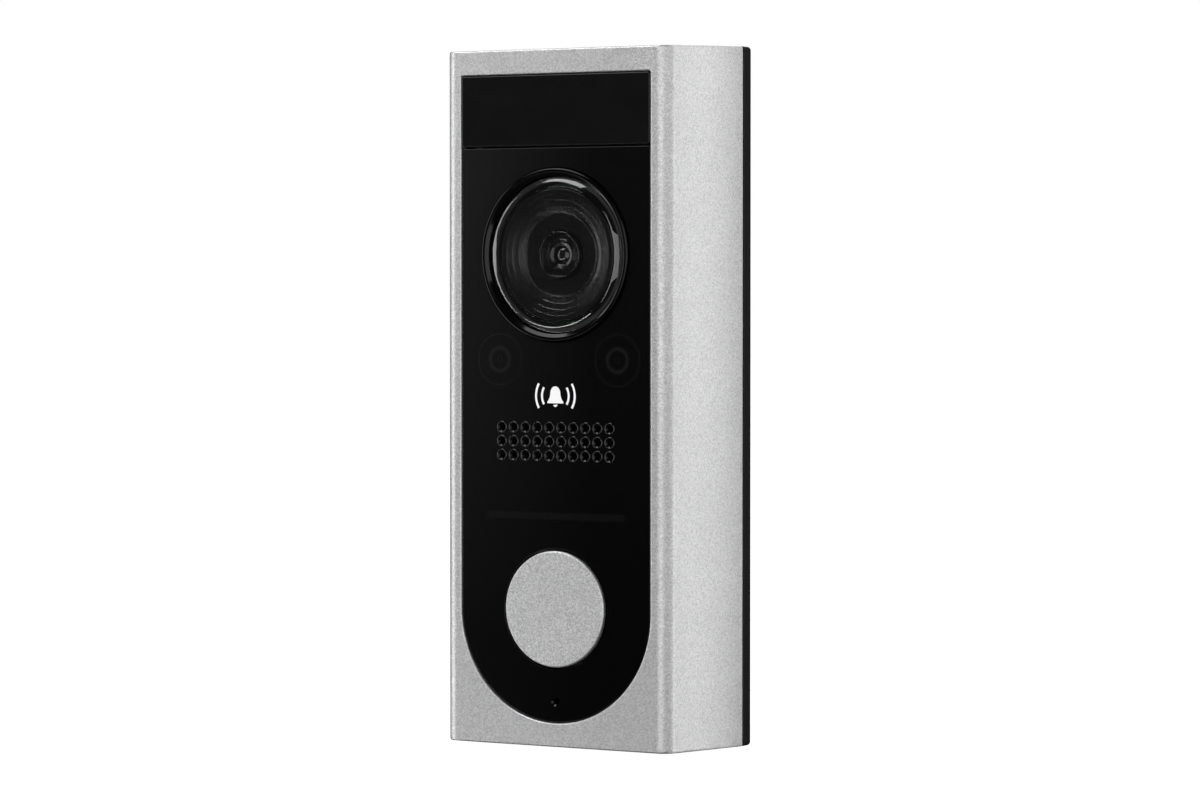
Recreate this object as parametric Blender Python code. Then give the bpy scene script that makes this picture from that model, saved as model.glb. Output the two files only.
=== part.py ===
"""Video doorbell on its wall bracket, modelled in metres as separate pieces.

Frame: +X is to a visitor's right, +Y runs into the wall, +Z is up.  The origin is the
middle of the bracket's rear face, so the wall is the plane Y = 0.  A depth is measured
from the housing's front face towards the wall.  A piece's origin lies on the front face,
on the piece's own axis, and its mesh's Y is therefore a depth.
"""

import math

import bmesh
import bpy

MM = 0.001

# Whole object
WIDTH = 48.3 * MM
FRONT_HEIGHT = 127.0 * MM
DEPTH = 29.4 * MM
END_DRAFT = 1.0 * MM            # how far each end face leans out from front to wall
HOUSING_DEPTH = 26.6 * MM       # the metal shell
BRACKET_THICKNESS = 2.6 * MM
HOUSING_HALF = WIDTH / 2
BRACKET_HALF_HEIGHT = FRONT_HEIGHT / 2 + 0.95 * MM

# Shell
FRONT_FILLET = 2.6 * MM
FRONT_WALL = 1.5 * MM
SIDE_WALL = 1.8 * MM
CAVITY_HALF_WIDTH = HOUSING_HALF - SIDE_WALL
CAVITY_HALF_HEIGHT = 61.5 * MM

# Opening in the front: straight sides, half-round lower end
OPENING_HALF_WIDTH = 20.45 * MM
OPENING_TOP = 59.0 * MM
ARCH_HEIGHT = -38.75 * MM       # centre of the half-round end
TRIM_GAP = 0.15 * MM
FLANGE_REACH = 1.3 * MM         # how far the plates reach behind the shell's front wall
FLANGE_STEP = 0.1 * MM          # how far a flange stays inside the plate's open edge and back

# Faceplate and motion window
PLATE_FRONT = 0.35 * MM
PLATE_BACK = 2.4 * MM
FLANGE_FRONT = 1.65 * MM
PLATE_TOP = 45.6 * MM
WINDOW_FRONT = 0.05 * MM
WINDOW_BOTTOM = 45.9 * MM

# Camera
CAMERA_HEIGHT = 26.1 * MM
BEZEL_RADIUS = 15.75 * MM
COVER_RADIUS = 14.15 * MM
COVER_EDGE = 0.05 * MM          # depth of the clear cover's rim
COVER_RISE = 1.45 * MM          # how far the cover's middle stands in front of its rim
COVER_THICKNESS = 1.1 * MM
BAFFLE_RADIUS = 12.05 * MM
BAFFLE_STEPS = 4
BAFFLE_FIRST_STEP = 11.085 * MM # radius where the first step starts
BAFFLE_TREAD = 1.135 * MM
BAFFLE_FIRST_DEPTH = 0.95 * MM
BAFFLE_RISER = 0.2 * MM
BARREL_RADIUS = 4.3 * MM
LENS_RADIUS = 1.56 * MM

# Infrared lights beside the camera
LED_OFFSET = 12.7 * MM
LED_HEIGHT = 6.4 * MM
LED_RADIUS = 1.5 * MM

# Sound holes
GRILLE_COLUMNS = 10
GRILLE_ROWS = 3
GRILLE_COLUMN_PITCH = 2.59 * MM
GRILLE_ROW_PITCH = 2.55 * MM
GRILLE_HEIGHT = -7.9 * MM
GRILLE_HOLE = 1.0 * MM
MICROPHONE_HEIGHT = -55.2 * MM
SPEAKER_HEIGHT = -9.3 * MM

# Call button
BUTTON_HEIGHT = -38.4 * MM
BUTTON_RADIUS = 10.62 * MM
BUTTON_HOLE = 11.05 * MM
BUTTON_FRONT = -0.12 * MM

# Boards
BOARD_FRONT = 13.0 * MM
BOARD_BACK = 14.2 * MM
BOARD_HALF_WIDTH = 21.0 * MM
BOARD_HALF_HEIGHT = 59.0 * MM

# Rear cover, which steps forward at its lower end to leave room for the security screw
COVER_FRONT = 24.2 * MM
COVER_BACK = 26.2 * MM
COVER_HALF_WIDTH = 22.1 * MM
COVER_TOP = 61.2 * MM
STEP_HEIGHT = -47.7 * MM
STEP_FRONT = 15.1 * MM
STEP_WALL = 1.5 * MM
COVER_SCREW_OFFSET = 18.6 * MM
COVER_SCREW_HEIGHTS = (52.0 * MM, -43.0 * MM)

# Hooks of the bracket and the pockets that hang on them
LIFT_TRAVEL = 4.0 * MM
HOOK_OFFSET = 14.0 * MM
HOOK_WIDTH = 6.0 * MM
HOOK_HEIGHTS = (28.0 * MM, -2.0 * MM)   # underside of each pair of hooks
HOOK_STEM = 2.5 * MM
HOOK_LIP = 3.2 * MM
HOOK_REACH = 4.6 * MM           # from the bracket's front face

# Terminals, set-up button and security screw
TERMINAL_HEIGHT = -22.0 * MM
TERMINAL_OFFSET = 6.2 * MM
RESET_HEIGHT = -10.8 * MM
SECURITY_DEPTH = 21.4 * MM

FRONT_Y = -DEPTH
FINE = 36                       # sides of the large round pieces
ROUND = 24                      # sides of the smaller round pieces
COARSE = 12                     # sides of the screws and posts
SOUND_HOLE_SIDES = 8
PAST = 2.0 * MM                 # how far a cutter runs past the wall it cuts
SMOOTH_ANGLE = math.radians(35)

# Colour, roughness and metallic value of each finish
SATIN_METAL = ((0.58, 0.58, 0.59), 0.36, 1.0)
GLOSS_BLACK = ((0.010, 0.010, 0.012), 0.12, 0.0)
SATIN_BLACK = ((0.020, 0.020, 0.022), 0.35, 0.0)
MATTE_BLACK = ((0.030, 0.030, 0.032), 0.65, 0.0)
RUBBER = ((0.025, 0.025, 0.027), 0.85, 0.0)
CLEAR = ((0.80, 0.84, 0.88), 0.04, 0.0)
DARK_GLASS = ((0.03, 0.03, 0.05), 0.05, 0.0)
BOARD_GREEN = ((0.015, 0.085, 0.045), 0.45, 0.0)
STEEL = ((0.60, 0.60, 0.61), 0.32, 1.0)
BRASS = ((0.72, 0.53, 0.24), 0.34, 1.0)
GOLD = ((0.83, 0.63, 0.28), 0.30, 1.0)
PAPER_CONE = ((0.06, 0.06, 0.07), 0.75, 0.0)
IVORY = ((0.70, 0.68, 0.62), 0.50, 0.0)
SLEEVE_BLUE = ((0.03, 0.06, 0.16), 0.40, 0.0)


# ---------------------------------------------------------------- outlines (x, z)

def arc(centre_x, centre_z, radius, start, end, steps):
    """Points on an arc from one angle to another, both in degrees, ends included."""
    points = []
    for step in range(steps + 1):
        angle = math.radians(start + (end - start) * step / steps)
        points.append((centre_x + radius * math.cos(angle), centre_z + radius * math.sin(angle)))
    return points


def circle(radius, sides, centre=(0.0, 0.0)):
    return arc(centre[0], centre[1], radius, 0, 360 * (sides - 1) / sides, sides - 1)


def rectangle(left, right, bottom, top):
    return [(right, top), (left, top), (left, bottom), (right, bottom)]


def rounded_rectangle(width, height, radius, steps=3):
    """Outline centred on the origin, with four rounded corners."""
    x = width / 2 - radius
    z = height / 2 - radius
    points = []
    for corner_x, corner_z, start in ((x, z, 0), (-x, z, 90), (-x, -z, 180), (x, -z, 270)):
        points += arc(corner_x, corner_z, radius, start, start + 90, steps)
    return points


def track(width, height, steps=7):
    """Racetrack outline centred on the origin: two half circles joined by straight sides."""
    radius = height / 2
    reach = width / 2 - radius
    return arc(reach, 0.0, radius, -90, 90, steps) + arc(-reach, 0.0, radius, 90, 270, steps)


def arched_plate(half_width, top, steps=18):
    """Straight sides down to the arch's centre, then a half circle of the same width."""
    lower_end = arc(0.0, ARCH_HEIGHT, half_width, 180, 360, steps)
    return [(half_width, top), (-half_width, top)] + lower_end


# ---------------------------------------------------------------- solids

def behind(depth):
    """World Y of a plane at this depth behind the front face."""
    return FRONT_Y + depth


def make_material(name, finish):
    colour, roughness, metallic = finish
    material = bpy.data.materials.new(name)
    material.use_nodes = True
    shader = material.node_tree.nodes["Principled BSDF"]
    shader.inputs["Base Color"].default_value = (*colour, 1.0)
    shader.inputs["Roughness"].default_value = roughness
    shader.inputs["Metallic"].default_value = metallic
    return material


def make_object(name, points, faces, finish=None, centre=(0.0, 0.0)):
    """Object from points and faces, with its normals outwards and its round sides smooth."""
    mesh = bpy.data.meshes.new(name)
    mesh.from_pydata(points, [], faces)
    work = bmesh.new()
    work.from_mesh(mesh)
    bmesh.ops.recalc_face_normals(work, faces=work.faces)
    work.to_mesh(mesh)
    work.free()
    mesh.shade_smooth()
    mesh.set_sharp_from_angle(angle=SMOOTH_ANGLE)
    piece = bpy.data.objects.new(name, mesh)
    piece.location = (centre[0], FRONT_Y, centre[1])
    bpy.context.scene.collection.objects.link(piece)
    if finish is None:
        piece.hide_render = True
        piece.display_type = "WIRE"
    else:
        mesh.materials.append(make_material(name, finish))
    return piece


def loft(name, rings, finish=None, centre=(0.0, 0.0)):
    """Closed solid through rings, each an (x, z) outline and its depth, front ring first."""
    count = len(rings[0][0])
    points = []
    faces = []
    for outline, depth in rings:
        points += [(x, depth, z) for x, z in outline]
    for ring in range(len(rings) - 1):
        for side in range(count):
            a = ring * count + side
            b = ring * count + (side + 1) % count
            faces.append((a, b, b + count, a + count))
    faces.append(tuple(range(count)))
    faces.append(tuple(range(len(points) - count, len(points))))
    return make_object(name, points, faces, finish, centre)


def slab(name, outline, front, back, finish=None, centre=(0.0, 0.0)):
    return loft(name, [(outline, front), (outline, back)], finish, centre)


def through(name, outline, front, back, centre=(0.0, 0.0)):
    """Cutter that runs past both faces of the wall it cuts."""
    return slab(name, outline, front - PAST, back + PAST, centre=centre)


def bar(name, outline, left, right, finish=None):
    """Solid of one (depth, z) outline carried along X."""
    count = len(outline)
    points = [(x, depth, z) for x in (left, right) for depth, z in outline]
    faces = [tuple(range(count)), tuple(range(count, 2 * count))]
    for side in range(count):
        other = (side + 1) % count
        faces.append((side, other, other + count, side + count))
    return make_object(name, points, faces, finish)


def turned(name, profile, finish=None, centre=(0.0, 0.0), sides=ROUND):
    """Solid of a (radius, depth) profile turned about the depth axis.

    A profile that starts and ends on the axis makes a solid piece; any other is closed
    from its last point to its first and makes a ring.
    """
    points = []
    rows = []
    for radius, depth in profile:
        if radius == 0.0:
            rows.append([len(points)] * sides)
            points.append((0.0, depth, 0.0))
        else:
            rows.append(list(range(len(points), len(points) + sides)))
            points += [(x, depth, z) for x, z in circle(radius, sides)]
    if profile[0][0] > 0.0:
        rows.append(rows[0])
    faces = []
    for near, far in zip(rows, rows[1:]):
        for side in range(sides):
            other = (side + 1) % sides
            corners = (near[side], near[other], far[other], far[side])
            faces.append(tuple(dict.fromkeys(corners)))
    return make_object(name, points, faces, finish, centre)


def upright_turned(name, profile, depth, finish=None, sides=COARSE):
    """Solid of a (radius, z) profile turned about a vertical axis at this depth, X = 0."""
    piece = turned(name, profile, finish, sides=sides)
    piece.location = (0.0, behind(depth), 0.0)
    piece.rotation_euler = (math.radians(90), 0.0, 0.0)
    return piece


def grouped(name, solids):
    """Joins cutters that don't touch into one hidden object."""
    points = []
    faces = []
    for solid in solids:
        start = len(points)
        offset = solid.location.copy()
        offset.y -= FRONT_Y
        points += [tuple(vertex.co + offset) for vertex in solid.data.vertices]
        faces += [tuple(start + index for index in face.vertices) for face in solid.data.polygons]
        bpy.data.objects.remove(solid)
    return make_object(name, points, faces)


def apply_boolean(target, tool, operation):
    modifier = target.modifiers.new(tool.name, "BOOLEAN")
    modifier.operation = operation
    modifier.solver = "EXACT"
    modifier.object = tool


def cut(target, *cutters):
    for cutter in cutters:
        apply_boolean(target, cutter, "DIFFERENCE")


def join(target, *parts):
    for part in parts:
        apply_boolean(target, part, "UNION")


# ---------------------------------------------------------------- shell and front plates

def shell_blank():
    """Block of the shell's outer shape: rounded front edges, ends that lean outwards."""
    straight = HOUSING_HALF - FRONT_FILLET
    right = arc(straight, FRONT_FILLET, FRONT_FILLET, 0, -90, 8)
    left = [(-x, depth) for x, depth in reversed(right)]
    outline = [(HOUSING_HALF, HOUSING_DEPTH)] + right + left + [(-HOUSING_HALF, HOUSING_DEPTH)]
    count = len(outline)
    points = []
    for end in (-1, 1):
        for x, depth in outline:
            height = FRONT_HEIGHT / 2 + END_DRAFT * depth / DEPTH
            points.append((x, depth, end * height))
    faces = [tuple(range(count)), tuple(range(count, 2 * count))]
    for side in range(count):
        other = (side + 1) % count
        faces.append((side, other, other + count, side + count))
    return make_object("front_housing", points, faces, SATIN_METAL)


def screw_boss_outline(side, height):
    """Half-round lug that grows out of the shell's side wall."""
    radius = 2.4 * MM
    wall = side * (CAVITY_HALF_WIDTH + 0.4 * MM)
    start = 90 if side > 0 else -90
    nose = arc(side * COVER_SCREW_OFFSET, height, radius, start, start + 180, 8)
    last = nose[-1][1]
    first = nose[0][1]
    return nose + [(wall, last), (wall, first)]


def make_front_housing():
    shell = shell_blank()
    cavity = rectangle(-CAVITY_HALF_WIDTH, CAVITY_HALF_WIDTH, -CAVITY_HALF_HEIGHT, CAVITY_HALF_HEIGHT)
    hollow = slab("cut_shell_cavity", cavity, FRONT_WALL, HOUSING_DEPTH + PAST)
    opening = arched_plate(OPENING_HALF_WIDTH, OPENING_TOP)
    cut(shell, hollow, slab("cut_shell_opening", opening, -PAST, FRONT_WALL + PAST))
    for height in COVER_SCREW_HEIGHTS:
        for side in (-1, 1):
            label = f"{'left' if side < 0 else 'right'}_{'upper' if height > 0 else 'lower'}"
            boss = slab(f"join_boss_{label}", screw_boss_outline(side, height), 15.5 * MM, 23.4 * MM)
            join(shell, boss)
            hole = circle(1.15 * MM, COARSE, (side * COVER_SCREW_OFFSET, height))
            cut(shell, slab(f"cut_boss_{label}", hole, 17.5 * MM, 23.4 * MM + PAST))
    end = -FRONT_HEIGHT / 2 - END_DRAFT
    screw_hole = [(0.0, end - PAST), (2.6 * MM, end - PAST), (2.6 * MM, -62.6 * MM)]
    screw_hole += [(1.3 * MM, -62.6 * MM), (1.3 * MM, -60.0 * MM), (0.0, -60.0 * MM)]
    cut(shell, upright_turned("cut_security_hole", screw_hole, SECURITY_DEPTH))


def sound_hole_cutters():
    """Straight holes in rows and columns of equal pitch."""
    hole = circle(GRILLE_HOLE, SOUND_HOLE_SIDES)
    holes = []
    for row in range(GRILLE_ROWS):
        for column in range(GRILLE_COLUMNS):
            x = (column - (GRILLE_COLUMNS - 1) / 2) * GRILLE_COLUMN_PITCH
            z = GRILLE_HEIGHT + (row - (GRILLE_ROWS - 1) / 2) * GRILLE_ROW_PITCH
            holes.append(through("cut_sound_hole", hole, 0.0, PLATE_BACK, (x, z)))
    return grouped("cut_sound_holes", holes)


def flanged_plate(name, front, outline, flange, finish):
    """Plate with a thinner, wider flange at its back."""
    plate = slab(name, outline, front, PLATE_BACK, finish)
    join(plate, slab(f"join_{name}_flange", flange, FLANGE_FRONT, PLATE_BACK - FLANGE_STEP))
    return plate


def make_faceplate():
    half = OPENING_HALF_WIDTH - TRIM_GAP
    outline = arched_plate(half, PLATE_TOP)
    flange = arched_plate(half + FLANGE_REACH, PLATE_TOP - FLANGE_STEP)
    plate = flanged_plate("faceplate", PLATE_FRONT, outline, flange, GLOSS_BLACK)
    camera = circle(BEZEL_RADIUS + TRIM_GAP, FINE, (0.0, CAMERA_HEIGHT))
    button = circle(BUTTON_HOLE, FINE, (0.0, BUTTON_HEIGHT))
    microphone = circle(0.95 * MM, COARSE, (0.0, MICROPHONE_HEIGHT))
    cut(plate, through("cut_camera_hole", camera, 0.0, PLATE_BACK))
    cut(plate, through("cut_button_hole", button, 0.0, PLATE_BACK))
    cut(plate, through("cut_microphone_hole", microphone, 0.0, PLATE_BACK))
    cut(plate, sound_hole_cutters())


def make_pir_window():
    half = OPENING_HALF_WIDTH - TRIM_GAP
    top = OPENING_TOP - TRIM_GAP
    outline = rectangle(-half, half, WINDOW_BOTTOM, top)
    reach = half + FLANGE_REACH
    flange = rectangle(-reach, reach, WINDOW_BOTTOM + FLANGE_STEP, top + FLANGE_REACH)
    window = flanged_plate("pir_window", WINDOW_FRONT, outline, flange, GLOSS_BLACK)
    recess = rectangle(-half + 2.0 * MM, half - 2.0 * MM, WINDOW_BOTTOM + 1.6 * MM, top - 1.6 * MM)
    cut(window, slab("cut_window_recess", recess, 1.1 * MM, PLATE_BACK + PAST))


# ---------------------------------------------------------------- camera

def make_camera_front():
    centre = (0.0, CAMERA_HEIGHT)
    rounded_edge = arc(BEZEL_RADIUS - 0.5 * MM, 0.25 * MM, 0.5 * MM, 0, -90, 3)
    bezel = [(BEZEL_RADIUS, 2.6 * MM)] + rounded_edge + [
        (14.4 * MM, 0.15 * MM),
        (14.4 * MM, 2.1 * MM),
        (13.2 * MM, 2.1 * MM),
        (13.2 * MM, 3.4 * MM),
        (17.2 * MM, 3.4 * MM),
        (17.2 * MM, 2.6 * MM),
    ]
    turned("camera_bezel", bezel, SATIN_BLACK, centre, FINE)

    sphere = (COVER_RADIUS ** 2 + COVER_RISE ** 2) / (2 * COVER_RISE)
    apex = COVER_EDGE - COVER_RISE
    back = COVER_EDGE + 1.05 * MM
    outer = [(0.0, apex)]
    for share in (0.2, 0.4, 0.6, 0.8, 1.0):
        radius = COVER_RADIUS * share
        outer.append((radius, apex + sphere - math.sqrt(sphere ** 2 - radius ** 2)))
    inner = [(COVER_RADIUS, back), (12.4 * MM, back)]
    for share in (1.0, 0.66, 0.33):
        radius = 12.3 * MM * share
        depth = apex + COVER_THICKNESS + sphere - math.sqrt(sphere ** 2 - radius ** 2)
        inner.append((radius, depth))
    inner.append((0.0, apex + COVER_THICKNESS))
    turned("camera_cover", outer + inner, CLEAR, centre, FINE)

    seal_front = back + 0.12 * MM
    seal_back = 1.98 * MM
    seal = [(13.3 * MM, seal_front), (14.2 * MM, seal_front), (14.2 * MM, seal_back), (13.3 * MM, seal_back)]
    turned("cover_seal", seal, RUBBER, centre)


def make_lens_stack():
    centre = (0.0, CAMERA_HEIGHT)
    radius = BAFFLE_FIRST_STEP
    depth = BAFFLE_FIRST_DEPTH
    baffle = [(BAFFLE_RADIUS, 5.4 * MM), (BAFFLE_RADIUS, depth), (radius, depth)]
    for step in range(BAFFLE_STEPS - 1):
        baffle.append((radius, depth + BAFFLE_RISER))
        depth += BAFFLE_RISER
        radius -= BAFFLE_TREAD
        baffle.append((radius, depth))
    baffle += [
        (4.6 * MM, depth),
        (4.6 * MM, 3.2 * MM),
        (11.0 * MM, 3.2 * MM),
        (11.0 * MM, 5.4 * MM),
    ]
    turned("lens_baffle", baffle, MATTE_BLACK, centre)

    barrel = [
        (BARREL_RADIUS, 9.0 * MM),
        (BARREL_RADIUS, 1.75 * MM),
        (4.08 * MM, 1.6 * MM),
        (3.9 * MM, 1.75 * MM),
        (3.05 * MM, 2.25 * MM),
        (2.65 * MM, 2.25 * MM),
        (2.55 * MM, 2.45 * MM),
        (1.75 * MM, 2.95 * MM),
        (1.75 * MM, 3.85 * MM),
        (1.25 * MM, 3.85 * MM),
        (1.25 * MM, 9.0 * MM),
    ]
    turned("lens_barrel", barrel, SATIN_BLACK, centre)

    apex = 2.55 * MM
    bulge = 0.7 * MM
    glass = [(0.0, apex)]
    for angle in (22, 45, 68, 90):
        turn = math.radians(angle)
        glass.append((LENS_RADIUS * math.sin(turn), apex + bulge - bulge * math.cos(turn)))
    glass += [(LENS_RADIUS, 3.75 * MM), (0.0, 3.75 * MM)]
    turned("front_lens", glass, DARK_GLASS, centre, COARSE)

    mount = slab("lens_mount", rounded_rectangle(12.0 * MM, 12.0 * MM, 1.0 * MM, 3), 6.5 * MM,
                 10.4 * MM, MATTE_BLACK, centre)
    bore = circle(BARREL_RADIUS + TRIM_GAP, ROUND)
    cut(mount, through("cut_mount_bore", bore, 6.5 * MM, 10.4 * MM, centre))
    sensor_room = rounded_rectangle(8.4 * MM, 8.4 * MM, 0.4 * MM, 1)
    cut(mount, slab("cut_mount_room", sensor_room, 9.2 * MM, 10.4 * MM + PAST, centre=centre))

    sensor = rounded_rectangle(7.2 * MM, 7.2 * MM, 0.2 * MM, 1)
    slab("image_sensor", sensor, 9.5 * MM, 10.4 * MM, DARK_GLASS, centre)
    board = rounded_rectangle(35.0 * MM, 39.6 * MM, 1.5 * MM, 3)
    slab("camera_board", board, 10.55 * MM, 11.55 * MM, BOARD_GREEN, (0.0, 22.2 * MM))
    plug = rectangle(-6.0 * MM, 6.0 * MM, -2.0 * MM, 2.0 * MM)
    slab("board_connector", plug, 11.7 * MM, 12.85 * MM, IVORY, (0.0, 35.0 * MM))


def make_infrared_lights():
    """A domed light in a rubber collar on each side, behind the faceplate."""
    dome = arc(0.0, 0.0, LED_RADIUS, 0, 90, 4)
    body = [(0.0, 3.0 * MM)]
    body += [(reach, 4.5 * MM - rise) for reach, rise in reversed(dome[:-1])]
    body += [(LED_RADIUS, 8.6 * MM), (1.9 * MM, 8.6 * MM), (1.9 * MM, 9.4 * MM)]
    body += [(0.8 * MM, 9.4 * MM), (0.8 * MM, 10.4 * MM), (0.0, 10.4 * MM)]
    collar = [(1.65 * MM, 2.55 * MM), (2.8 * MM, 2.55 * MM)]
    collar += [(2.8 * MM, 8.45 * MM), (1.65 * MM, 8.45 * MM)]
    for side, label in ((-1, "left"), (1, "right")):
        centre = (side * LED_OFFSET, LED_HEIGHT)
        turned(f"infrared_led_{label}", body, CLEAR, centre, COARSE)
        turned(f"led_collar_{label}", collar, RUBBER, centre, COARSE)


# ---------------------------------------------------------------- chassis, sound, motion sensor

def make_inner_frame():
    """Chassis behind the faceplate: a plate with an opening for every front unit."""
    front = 3.6 * MM
    back = 4.8 * MM
    floor_back = 5.8 * MM
    button = (0.0, BUTTON_HEIGHT)
    frame = slab("inner_frame", arched_plate(21.3 * MM, 60.5 * MM), front, back, MATTE_BLACK)
    join(frame, slab("join_button_floor", circle(13.8 * MM, ROUND), 4.5 * MM, floor_back, centre=button))
    for side in (-1, 1):
        for height in (44.4 * MM, -24.0 * MM):
            label = f"{'left' if side < 0 else 'right'}_{'upper' if height > 0 else 'lower'}"
            post = circle(1.5 * MM, COARSE)
            place = (side * 19.3 * MM, height)
            join(frame, slab(f"join_post_{label}", post, 4.4 * MM, BOARD_FRONT - TRIM_GAP, centre=place))
    window = rectangle(-17.5 * MM, 17.5 * MM, 47.0 * MM, 57.8 * MM)
    cut(frame, through("cut_frame_window", window, front, back))
    camera = circle(13.2 * MM, ROUND)
    cut(frame, through("cut_frame_camera", camera, front, back, (0.0, CAMERA_HEIGHT)))
    speaker = track(31.0 * MM, 18.6 * MM)
    cut(frame, through("cut_frame_speaker", speaker, front, back, (0.0, SPEAKER_HEIGHT)))
    light = circle(3.1 * MM, COARSE)
    for side, label in ((-1, "left"), (1, "right")):
        place = (side * LED_OFFSET, LED_HEIGHT)
        cut(frame, through(f"cut_frame_led_{label}", light, front, back, place))
    cut(frame, slab("cut_frame_button", circle(12.6 * MM, ROUND), front - PAST, 4.9 * MM, centre=button))
    cut(frame, slab("cut_frame_post", circle(3.5 * MM, COARSE), front, floor_back + PAST, centre=button))
    microphone = circle(2.8 * MM, COARSE)
    cut(frame, through("cut_frame_microphone", microphone, front, back, (0.0, MICROPHONE_HEIGHT)))


def make_speaker():
    centre = (0.0, SPEAKER_HEIGHT)
    slab("speaker_mesh", track(28.4 * MM, 10.0 * MM), 2.55 * MM, 2.75 * MM, MATTE_BLACK, centre)
    gasket = slab("speaker_gasket", track(30.0 * MM, 17.6 * MM), 2.9 * MM, 3.4 * MM, RUBBER, centre)
    cut(gasket, through("cut_gasket", track(26.8 * MM, 14.4 * MM), 2.9 * MM, 3.4 * MM, centre))

    basket = slab("speaker_frame", track(30.2 * MM, 17.8 * MM), 3.55 * MM, 8.6 * MM, SATIN_BLACK, centre)
    cone_room = track(27.6 * MM, 15.2 * MM)
    magnet_hole = track(16.4 * MM, 10.4 * MM)
    cut(basket, slab("cut_basket_front", cone_room, 3.55 * MM - PAST, 7.4 * MM, centre=centre))
    cut(basket, slab("cut_basket_back", magnet_hole, 7.0 * MM, 8.6 * MM + PAST, centre=centre))

    paper = 0.6 * MM
    front_rings = [
        (track(8.0 * MM, 2.0 * MM), 4.7 * MM),
        (track(14.0 * MM, 6.0 * MM), 5.2 * MM),
        (track(24.2 * MM, 11.8 * MM), 3.75 * MM),
        (track(27.2 * MM, 14.8 * MM), 3.75 * MM),
    ]
    cone = front_rings + [(outline, depth + paper) for outline, depth in reversed(front_rings)]
    loft("speaker_cone", cone, PAPER_CONE, centre)
    slab("speaker_magnet", track(15.8 * MM, 9.8 * MM), 7.0 * MM, 12.0 * MM, STEEL, centre)

    microphone = (0.0, MICROPHONE_HEIGHT)
    boot = [(0.8 * MM, 2.55 * MM), (2.6 * MM, 2.55 * MM), (2.6 * MM, 11.7 * MM), (0.8 * MM, 11.7 * MM)]
    turned("microphone_boot", boot, RUBBER, microphone, COARSE)
    capsule = rectangle(-1.9 * MM, 1.9 * MM, -1.5 * MM, 1.5 * MM)
    slab("microphone", capsule, 11.85 * MM, 12.85 * MM, GOLD, microphone)


def make_pir_sensor():
    """Metal can with a step at its foot and a square window in its front."""
    can = [(0.0, 8.6 * MM), (3.9 * MM, 8.6 * MM), (4.1 * MM, 8.8 * MM), (4.1 * MM, 12.2 * MM)]
    can += [(4.6 * MM, 12.2 * MM), (4.6 * MM, 12.85 * MM), (0.0, 12.85 * MM)]
    centre = (0.0, (WINDOW_BOTTOM + OPENING_TOP) / 2)
    sensor = turned("pir_sensor", can, STEEL, centre)
    pane = rectangle(-2.0 * MM, 2.0 * MM, -1.5 * MM, 1.5 * MM)
    cut(sensor, slab("cut_sensor_pane", pane, 8.6 * MM - PAST, 8.85 * MM, centre=centre))


# ---------------------------------------------------------------- call button

def make_call_button():
    centre = (0.0, BUTTON_HEIGHT)
    edge = 0.35 * MM
    rounded_edge = arc(BUTTON_RADIUS - edge, BUTTON_FRONT + edge, edge, -90, 0, 3)
    cap = [(0.0, BUTTON_FRONT)] + rounded_edge + [(BUTTON_RADIUS, 0.75 * MM), (0.0, 0.75 * MM)]
    turned("button_cap", cap, SATIN_METAL, centre, FINE)

    carrier = [
        (0.0, 0.9 * MM),
        (10.5 * MM, 0.9 * MM),
        (10.5 * MM, 2.6 * MM),
        (12.2 * MM, 2.6 * MM),
        (12.2 * MM, 3.5 * MM),
        (3.0 * MM, 3.5 * MM),
        (3.0 * MM, 6.1 * MM),
        (0.0, 6.1 * MM),
    ]
    turned("button_carrier", carrier, SATIN_BLACK, centre)

    seal = [(9.5 * MM, 4.2 * MM), (12.2 * MM, 4.2 * MM), (12.2 * MM, 4.75 * MM), (9.5 * MM, 4.75 * MM)]
    turned("button_seal", seal, RUBBER, centre)

    pocket_floor = 10.9 * MM
    base = slab("button_switch", rounded_rectangle(6.2 * MM, 6.2 * MM, 0.5 * MM, 2), 9.2 * MM,
                BOARD_FRONT - TRIM_GAP, MATTE_BLACK, centre)
    pocket = circle(2.0 * MM, COARSE)
    cut(base, slab("cut_switch_pocket", pocket, 9.2 * MM - PAST, pocket_floor, centre=centre))
    plunger = [(0.0, 6.25 * MM), (1.6 * MM, 6.25 * MM), (1.75 * MM, 6.4 * MM)]
    plunger += [(1.75 * MM, 10.2 * MM), (0.0, 10.2 * MM)]
    turned("switch_plunger", plunger, IVORY, centre, COARSE)


# ---------------------------------------------------------------- main board and what it carries

def make_main_board():
    mounted = BOARD_BACK + TRIM_GAP
    board = rounded_rectangle(2 * BOARD_HALF_WIDTH, 2 * BOARD_HALF_HEIGHT, 1.5 * MM, 3)
    slab("main_board", board, BOARD_FRONT, BOARD_BACK, BOARD_GREEN)
    can = rounded_rectangle(26.0 * MM, 21.0 * MM, 0.8 * MM, 2)
    lid = rounded_rectangle(25.4 * MM, 20.4 * MM, 0.8 * MM, 2)
    rings = [(can, mounted), (can, 16.6 * MM), (lid, 16.9 * MM)]
    shield = loft("processor_shield", rings, STEEL, (0.0, 19.0 * MM))
    inside = rounded_rectangle(25.0 * MM, 20.0 * MM, 0.6 * MM, 2)
    cut(shield, slab("cut_shield", inside, mounted - PAST, 16.5 * MM, centre=(0.0, 19.0 * MM)))
    antenna = rectangle(-12.0 * MM, 12.0 * MM, -3.5 * MM, 3.5 * MM)
    slab("wifi_antenna", antenna, mounted, 15.0 * MM, BRASS, (0.0, 53.0 * MM))
    spool = [
        (0.0, mounted),
        (5.0 * MM, mounted),
        (5.0 * MM, 15.3 * MM),
        (3.6 * MM, 15.6 * MM),
        (3.6 * MM, 17.8 * MM),
        (5.0 * MM, 18.1 * MM),
        (5.0 * MM, 19.0 * MM),
        (0.0, 19.0 * MM),
    ]
    turned("power_inductor", spool, MATTE_BLACK, (0.0, 1.0 * MM), COARSE)


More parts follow.
